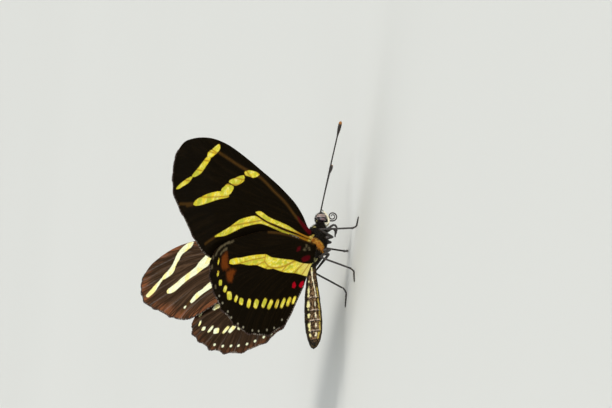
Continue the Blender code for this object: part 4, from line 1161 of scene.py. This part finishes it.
def makeBodyMaterial(name, isHair):
    newMaterial(name, 0.55 if isHair else 0.48, 0.13,
                **{"Sheen Weight": 0.04 if isHair else 0.0, "Sheen Roughness": 0.35})
    colour = bodyColour
    pale, ochre, yellow = parts(attribute("marks"))
    flank, dark, arcs = parts(attribute("tones"))
    tip, own, _ = parts(attribute("lock"))
    place = position()
    wide = noiseAt(place, 1500.0, 3.0, 0.7)
    ragged = timesPlus(noiseAt(place, 3800.0, 2.0, 0.6), 0.34, -0.17)
    torn = timesPlus(wide, 0.80, plus(ragged, -0.42))
    mottle = softStep(noiseAt(stretched(place, (1.0, 0.6, 1.0)), 2700.0, 3.0, 0.75), 0.48, 0.60)
    mixed = blend(times(tip, 0.6), colour["black"], colour["hairTip"])
    onBack = times(softStep(wide, 0.48, 0.66), maths("GREATER_THAN", dark, -8.0))
    mixed = blend(times(onBack, 0.8), mixed, colour["back"])
    mixed = blend(flank, mixed, colour["brown"])
    mixed = blend(times(flank, mottle), mixed, colour["flank"])
    # the ochre stripe, with painted highlights in patches of noise
    mixed = laid(mixed, plus(ochre, ragged),
                 laid(colour["ochre"], wide, colour["ochreHighlight"], 0.44, 0.64), -0.12, 0.14)
    mixed = laid(mixed, plus(yellow, torn), colour["yellow"], -0.06, 0.10)
    mixed = laid(mixed, plus(dark, ragged), colour["black"], -0.05, 0.06)
    mixed = laid(mixed, plus(arcs, torn), colour["arc"], -0.10, 0.06)
    paler = laid(colour["pale"], flank, colour["chalk"], 0.70, 0.95)
    mixed = laid(mixed, plus(pale, times(torn, 0.6)), paler, -0.06, 0.08)
    mixed = shaded(mixed, timesPlus(own, 0.40 if isHair else 0.0, 0.80 if isHair else 1.0))
    if isHair:
        return finishMaterial(mixed)
    plates = addNode("TexVoronoi", {"Vector": stretched(place, (9000.0, 4500.0, 9000.0)), "Scale": 1.0})
    return finishMaterial(mixed, plates.outputs["Distance"], 0.4, 0.00003)


# Eyes, antennae, palps, proboscis and legs, from ovals and tubes with their own profiles

def ovalShape(middle, halves, around, rings):
    turns = np.arange(around) * 2 * math.pi / around
    tilts = np.linspace(0, math.pi, rings + 1)[1:-1]
    grid = np.stack([np.outer(np.sin(tilts), np.cos(turns)), np.outer(np.sin(tilts), np.sin(turns)),
                     np.outer(np.cos(tilts), np.ones(around))], -1).reshape(-1, 3)
    points = np.vstack([grid, [[0, 0, 1], [0, 0, -1]]]) * halves + middle
    return points, ringFaces(rings - 1, around)[:, ::-1], np.zeros((len(points), 3))


def tubeShape(line, around):  # x, y, z and radius; look holds how far along a point lies
    line = np.array(line, float)
    path, radii = line[:, :3], line[:, 3]
    along = unit(np.gradient(path, axis=0))
    side = unit(np.cross(along[0], [0.3, 0.2, 1.0]))
    turns = np.arange(around)[:, None] * 2 * math.pi / around
    rings = []
    for place, way, radius in zip(path, along, radii):
        side = unit(side - way * (side @ way))
        rings.append(place + radius * (np.cos(turns) * side + np.sin(turns) * np.cross(way, side)))
    ends = [path[0] - along[0] * radii[0] * 0.4, path[-1] + along[-1] * radii[-1] * 0.6]
    look = np.zeros((len(path) * around + 2, 3))
    look[:, 0] = np.append(np.repeat(np.linspace(0, 1, len(path)), around), [0, 1])
    return np.vstack(rings + [ends]), ringFaces(len(path), around), look


def joined(shapes):
    points, faces, looks = zip(*shapes)
    starts = np.cumsum([0] + [len(own) for own in points])
    return np.vstack(points), np.vstack([own + start for own, start in zip(faces, starts)]), np.vstack(looks)


def addShapes(name, shapes, material, slotName, *nodes):
    points, faces, look = joined(shapes)
    addBoth(name, points, faces, material, slotName, nodes, {"look": look})


def stops(start, way, *steps):  # points with a radius, at distances along a way
    return [(*(start + way * at), radius) for at, radius in steps]


eye = {
    "middle": (0.70, -4.48, -2.08),
    "halves": (0.84, 0.87, 1.01),
    "room": 0.03,  # between the eye and the nearest hair
    "bands": [(-4.28, 0.10), (-3.50, 0.34), (-4.66, 0.03), (-5.30, 0.34)],  # y and half width
    # y, z and z where the tone turns
    "front": (-4.15, -4.6), "crown": (-2.15, -1.65), "under": (-2.55, -2.90),
    "brown": [(0.20, 0.115, 0.130), (0.46, 0.33, 0.29)],  # rear and front
    "dark": (0.014, 0.007, 0.009),
}


def makeEyes():
    points, faces, _ = ovalShape(np.array(eye["middle"]), np.array(eye["halves"]), 64, 40)
    addBoth("eye_{}_globe", points, faces, eyeMaterial, "eye", ["eye_{}"], {"place": points})


def makeEyeMaterial():
    newMaterial("compoundEye", 0.22, 0.55, **{"Coat Weight": 0.35, "Coat Roughness": 0.08})
    place = attribute("place")
    _, y, z = parts(place)
    at = plus(y, timesPlus(noiseAt(place, 1.6, 2.0), 0.20, -0.10))
    mixed = blend(softStep(at, *eye["front"]), *eye["brown"])
    crown = times(softStep(z, *eye["crown"]), softStep(at, -4.30, -4.15))
    mixed = laid(blend(crown, mixed, eye["dark"]), z, eye["dark"], *eye["under"])
    for middle, half in eye["bands"]:
        away = maths("ABSOLUTE", maths("SUBTRACT", at, middle))
        mixed = laid(mixed, away, eye["dark"], half + 0.06, half - 0.02)
    facet = addNode("TexVoronoi", {"Vector": place, "Scale": 22.0}).outputs["Distance"]
    mixed = shaded(mixed, timesPlus(softStep(facet, 0.75, 0.1), 0.35, 0.72))
    return finishMaterial(mixed, facet, 0.5, 0.00002, invert=True)


antenna = {
    "root": (0.36, -0.95, 0.30), "lean": (0.60, -0.80), "dips": {"left": -0.158, "right": -0.105},
    "length": 18.55, "droop": 0.3,
    "shaft": 0.135, "club": 0.34, "clubLength": 3.2, "joints": 38, "rings": 6, "scape": 0.24, "sunk": 0.15,
    "black": [(0.006, 0.004, 0.003), (0.022, 0.013, 0.009)], "tip": (0.34, 0.13, 0.02),
}
headMiddle, headHalves = np.array([0.0, -4.50, -2.10]), np.array([1.15, 1.08, 1.18])


def makeAntennae():  # the left one is held a little lower
    sizes = antenna
    root = np.array(sizes["root"])
    start = headMiddle + root / np.linalg.norm(root / headHalves) - unit(root) * sizes["sunk"]
    share = np.linspace(0, 1, sizes["joints"] * sizes["rings"] + 1)
    club = np.clip(1 - (1 - share) * sizes["length"] / sizes["clubLength"], 0, 1)
    swell = np.sin(math.pi * np.minimum(club, 0.88) * 0.72) ** 1.5
    radius = sizes["shaft"] + (sizes["club"] - sizes["shaft"]) * swell
    radius *= 1 - 0.75 * ease((share - 0.985) / 0.015)
    within = (share * sizes["joints"]) % 1
    radius *= 1 + 0.10 * (within - 0.4) - 0.10 * bell(np.minimum(within, 1 - within), 0.10)
    for name in sides:
        lean = unit(np.array([*sizes["lean"], sizes["dips"][name]]))
        path = start + lean * (share * sizes["length"])[:, None]
        path[:, 2] += sizes["droop"] * (share - share ** 2)
        scape = stops(start, lean, (-0.05, 0.20), (0.20, sizes["scape"]), (0.42, 0.19), (0.50, 0.12))
        base = tubeShape(smoothLine(scape, 0.06), 16)
        base[2][:, 0] = 0.0  # keeps the tip's colour off it
        points, faces, look = joined([tubeShape(np.column_stack([path, radius]), 14), base])
        addSide(name, "antenna_{}_feeler", points, faces, antennaMaterial, "antenna", ["antenna_{}"],
                {"look": look})


def makeAntennaMaterial():
    newMaterial("feeler", 0.45, 0.4)
    grainy = noiseAt(position(), 5000.0, 2.0)
    mixed = laid(blend(grainy, *antenna["black"]), parts(attribute("look"))[0], antenna["tip"], 0.960, 0.990)
    return finishMaterial(mixed, grainy, 0.3, 0.00002)


palp = {
    "path": [  # x, y, z, radius
        (0.42, -3.60, -2.75, 0.12), (0.64, -3.48, -3.20, 0.15), (0.69, -3.62, -3.46, 0.17),
        (0.70, -4.20, -3.45, 0.185), (0.67, -4.95, -3.13, 0.165), (0.59, -5.62, -2.62, 0.125),
        (0.51, -6.22, -2.03, 0.05)],
    "joints": [0.20, 0.72], "waist": 0.22, "waistLength": 0.02,  # shares of the radius and of the length
    "hairs": 700, "hair": 0.23, "hairVaries": (0.6, 1.2), "hairWidth": 0.055,
    "hairRise": (8, 26), "hairCurl": 0.2,
    "cream": [(0.88, 0.84, 0.66), (0.66, 0.57, 0.38)], "tip": (0.020, 0.013, 0.010),
}


def makePalps():
    line = smoothLine(palp["path"], 0.05)
    share = np.linspace(0, 1, len(line))
    line[:, 3] *= 1 - sum(palp["waist"] * bell(share - at, palp["waistLength"]) for at in palp["joints"])
    addShapes("palp_{}_core", [tubeShape(line, 16)], palpMaterial, "palp", "palp_{}")
    count = palp["hairs"]
    at = dice.uniform(0.03, 0.99, count)
    turn = dice.uniform(0, 2 * math.pi, count)
    way = valuesAt(at, share, unit(np.gradient(line[:, :3], axis=0)))
    across = unit(np.cross(way, [1.0, 0, 0]))
    normal = unit(np.cos(turn)[:, None] * across + np.sin(turn)[:, None] * np.cross(way, across))
    length = palp["hair"] * dice.uniform(*palp["hairVaries"], count) * (1 - 0.4 * at)
    look = np.stack([at, -normal[:, 0], np.zeros(count)], 1)
    addHair("palp", at, line, way, normal, look, turn / (2 * math.pi),
            lambda: (length, palp["hairWidth"], np.radians(dice.uniform(*palp["hairRise"], count))),
            palp["hairCurl"], palpMaterial, "palp")


def makePalpMaterial():
    newMaterial("palpHair", 0.6, 0.3, **{"Sheen Weight": 0.1, "Sheen Roughness": 0.4})
    speck = noiseAt(position(), 4200.0, 2.0)
    along = plus(parts(attribute("look"))[0], timesPlus(speck, 0.12, -0.06))
    return finishMaterial(laid(blend(speck, *palp["cream"]), along, palp["tip"], 0.86, 0.94))


proboscis = {
    "middle": (0.0, -5.20, -4.20), "radius": 0.90, "pitch": 0.62, "turns": 1.75,
    "tube": 0.125, "halfGap": 0.055,
    "rings": 260, "taper": 0.45, "ripple": (0.05, 520),
    "lead": [(0, -4.35, -3.05), (0, -4.30, -3.5)],
}


def makeProboscis():
    sizes = proboscis
    turns = np.linspace(0, sizes["turns"], sizes["rings"])
    reach = sizes["radius"] - sizes["pitch"] * turns / sizes["turns"] * 1.05
    angle = 2 * math.pi * turns
    coil = np.array(sizes["middle"]) + np.stack([turns * 0, reach * np.cos(angle), -reach * np.sin(angle)], 1)
    path = np.vstack([smoothLine([*sizes["lead"], coil[0]], 0.05)[:-1], coil])
    share = np.linspace(0, 1, len(path))
    rise, often = sizes["ripple"]
    radius = sizes["tube"] * (1 - sizes["taper"] * share) * (1 + rise * np.sin(share * often))
    shapes = [tubeShape(np.column_stack([path + [x, 0, 0], radius]), 12)  # two half tubes side by side
              for x in (-sizes["halfGap"], sizes["halfGap"])]
    points, faces, look = joined(shapes)
    addPiece("proboscis_coil", points, faces, cuticleMaterial, ["proboscis"], {"look": look})


legs = {
    "midleg": {"rootY": -0.5, "angle": 26.0, "knee": (4.0, -0.6, -1.9), "ankle": (6.2, -0.8, 1.1),
               "heel": (6.9, -1.1), "toe": (8.9, -2.0)},
    "hindleg": {"rootY": 2.0, "angle": 26.0, "knee": (3.8, 4.3, -2.1), "ankle": (5.5, 6.9, 1.1),
                "heel": (6.0, 7.8), "toe": (7.0, 10.1)},
}
limb = {
    "coxa": 0.42, "thigh": 0.25, "shin": 0.185, "foot": 0.155, "toe": 0.115, "knee": 0.165, "hip": 1.35,
    "kneeStep": 0.45, "gap": 0.3, "soleHeight": 0.15,
    "shinSpines": (34, 0.26, 0.028, 0.1, 0.97),  # count, length, width, first and last share of the way
    "footSpines": (26, 0.17, 0.022, 0.08, 0.95),
    "spurs": ((1, -0.1, 0.05), (1.8, 0.25, 0.035), (2.2, 0.48, 0.01)),  # aside, down and radius
    # Ahead, aside and up
    "claws": ((0, 0.05, 0), (0.12, 0.12, 0.05), (0.24, 0.17, -0.02), (0.28, 0.17, -0.075)),
    "clawRadius": (0.036, 0.010), "pad": (0.07, 0.07, 0.05),
    "footJoints": (0.36, 0.56, 0.72, 0.85),  # shares of the foot, each wider at its far end
    "around": 14,
    "black": [(0.011, 0.007, 0.005), (0.060, 0.038, 0.026)],
}


def chestPoint(y, degrees):
    sections = smoothLine(skin["sections"], 0.05)
    _, z, wide, high = valuesAt(y, sections[:, 0], sections)
    turn = math.radians(degrees)
    place = np.array([wide * math.sin(turn), y, z - high * math.cos(turn)])
    return place, unit(np.array([math.sin(turn) / wide, 0, -math.cos(turn) / high]))


def spineShapes(path, count, length, width, firstShare, lastShare):
    shapes = []
    for at in np.linspace(firstShare, lastShare, count):
        index = int(at * (len(path) - 1))
        way = unit(path[min(index + 1, len(path) - 1), :3] - path[max(index - 1, 0), :3])
        out = unit(unit(np.cross(way, dice.normal(size=3))) + [0, 0, -0.4])
        foot = path[index, :3] + out * path[index, 3] * 0.7
        tip = foot + unit(out * 0.55 + way) * length * dice.uniform(0.7, 1.2)
        shapes.append(tubeShape([(*foot, width), (*(foot + tip) / 2, width * 0.6), (*tip, width * 0.12)], 4))
    return shapes


def makeLeg(kind, sizes):
    start, out = chestPoint(sizes["rootY"], sizes["angle"])
    hip, knee = start + out * limb["hip"], np.array(sizes["knee"])
    ankle = np.array(sizes["ankle"]) + [0, 0, floorLevel]
    heel = np.array([*sizes["heel"], limb["soleHeight"] + 0.03 + floorLevel])
    toe = np.array([*sizes["toe"], limb["toe"] * 0.92 + floorLevel])
    upper = smoothLine(stops(start, out, (-0.35, 0.42), (0.30, limb["coxa"]), (0.80, 0.34), (1.02, 0.20)),
                       0.08)
    ring = smoothLine(stops(start, out, (0.86, 0.17), (1.06, 0.29), (1.26, 0.25), (1.42, 0.13)), 0.05)
    thigh = smoothLine([*stops(start, out, (1.1, 0.17)), (*hip, limb["thigh"] * 0.92),
                        (*(hip * 0.62 + knee * 0.38), limb["thigh"]), (*knee, limb["knee"])], 0.10)
    along, down = unit(thigh[-1, :3] - thigh[-6, :3]), unit(ankle - knee)
    bend = knee + along * (limb["gap"] + limb["kneeStep"]) + down * limb["kneeStep"] * 0.5
    shin = smoothLine([*stops(knee, along, (-0.05, 0.12), (limb["gap"], 0.17)), (*bend, limb["shin"]),
                       (*(bend * 0.4 + ankle * 0.6), limb["shin"] * 0.95), (*ankle, limb["knee"])], 0.10)
    shapes = [tubeShape(bar, limb["around"]) for bar in (upper, ring, thigh, shin)]
    shapes += spineShapes(shin, *limb["shinSpines"])
    down = unit(ankle - bend)
    for turn in (-1, 1):  # two spurs at the shin's end
        off = unit(np.cross(down, [0, 0, 1.0])) * turn * 0.12
        spur = [(*(ankle + off * aside + down * at), radius) for aside, at, radius in limb["spurs"]]
        shapes.append(tubeShape(spur, 6))
    foot = smoothLine([*stops(ankle, down, (-0.08, 0.10), (0.35, limb["foot"])), (*heel, limb["foot"]),
                       (*(heel * 0.45 + toe * 0.55), 0.135), (*toe, limb["toe"])], 0.05)
    share = np.linspace(0, 1, len(foot))
    for edge in limb["footJoints"]:
        foot[:, 3] *= 1 - 0.30 * bell(share - edge - 0.012, 0.014) + 0.12 * bell(share - edge + 0.03, 0.03)
    foot[:, 2] = np.maximum(foot[:, 2], floorLevel + foot[:, 3])
    shapes.append(tubeShape(foot, limb["around"]))
    shapes += spineShapes(foot, *limb["footSpines"])
    ahead = unit((toe - heel) * [1, 1, 0])
    aside = np.array([-ahead[1], ahead[0], 0])
    tip = foot[-1, :3]
    for turn in (-1, 1):  # claws that curve down to the floor
        hook = [tip + ahead * far + aside * turn * off + [0, 0, lift] for far, off, lift in limb["claws"]]
        hook = smoothLine(hook, 0.04)
        hook[:, 2] = np.maximum(hook[:, 2], floorLevel + 0.02)
        shapes.append(tubeShape(np.column_stack([hook, np.linspace(*limb["clawRadius"], len(hook))]), 6))
    pad = (tip + ahead * 0.06) * [1, 1, 0] + [0, 0, floorLevel + limb["pad"][2]]
    shapes.append(ovalShape(pad, np.array(limb["pad"]), 12, 8))
    nodes = [kind + "_{}_" + bar for bar in ("thigh", "shin", "foot")]
    addShapes(kind + "_{}", shapes, cuticleMaterial, "legs", *nodes)


foreleg = {
    "rootY": -2.3, "angle": 24.0,
    "path": [(1.00, -3.1, -4.35, 0.19), (1.02, -2.7, -4.95, 0.17), (0.95, -1.5, -5.0, 0.10)],
    "hairs": 260, "hair": 0.30, "hairVaries": (0.6, 1.2), "hairWidth": 0.05,
    "hairRise": 0.35, "hairCurl": 0.2,
}


def makeForelegs():
    sizes = foreleg
    root = stops(*chestPoint(sizes["rootY"], sizes["angle"]), (-0.3, 0.24), (0.3, 0.25))
    line = smoothLine(root + sizes["path"], 0.07)
    addShapes("foreleg_{}_limb", [tubeShape(line, 12)], cuticleMaterial, "legs", "foreleg_{}")
    count = sizes["hairs"]
    at = dice.uniform(0.1, 0.98, count)
    way = valuesAt(at, np.linspace(0, 1, len(line)), unit(np.gradient(line[:, :3], axis=0)))
    normal = unit(np.cross(way, dice.normal(size=(count, 3))))
    look = np.stack([at, dice.random(count), np.zeros(count)], 1)
    addHair("foreleg", at, line, way, normal, look, dice.random(count),
            lambda: (sizes["hair"] * dice.uniform(*sizes["hairVaries"], count), sizes["hairWidth"],
                     sizes["hairRise"]), sizes["hairCurl"], cuticleMaterial, "legs")


def makeCuticleMaterial():
    newMaterial("cuticle", 0.38, 0.45)
    place = position()
    patches = softStep(noiseAt(place, 2600.0, 3.0, 0.6), 0.50, 0.72)
    return finishMaterial(blend(patches, *limb["black"]), noiseAt(place, 9000.0, 2.0), 0.35, 0.00002)


addCamera()
addLights()
addFloor()
print("camera, lights and floor placed")

wingMaterial = makeWingMaterial()
foreOutline, hindOutline = forewingOutline(), hindwingOutline()
makeWing("forewing", forewing, foreOutline, forewingPlace, forewingMarks)
makeWing("hindwing", hindwing, hindOutline, hindwingPlace, hindwingMarks)
fringeMaterial = makeFringeMaterial()
makeFringe("forewing", forewing["fringe"], foreOutline, forewingPlace, veinEnds(0))
makeFringe("hindwing", hindwing["fringe"], hindOutline, hindwingPlace, hindwing["teeth"])
print("wings made")

skinMaterial = makeBodyMaterial("bodySkin", False)
coatMaterial = makeBodyMaterial("bodyHair", True)
makeSkin()
makeCoat()
eyeMaterial = makeEyeMaterial()
makeEyes()
antennaMaterial = makeAntennaMaterial()
makeAntennae()
palpMaterial = makePalpMaterial()
makePalps()
cuticleMaterial = makeCuticleMaterial()
makeProboscis()
for kind, sizes in legs.items():
    makeLeg(kind, sizes)
makeForelegs()
print("body, head and legs made")
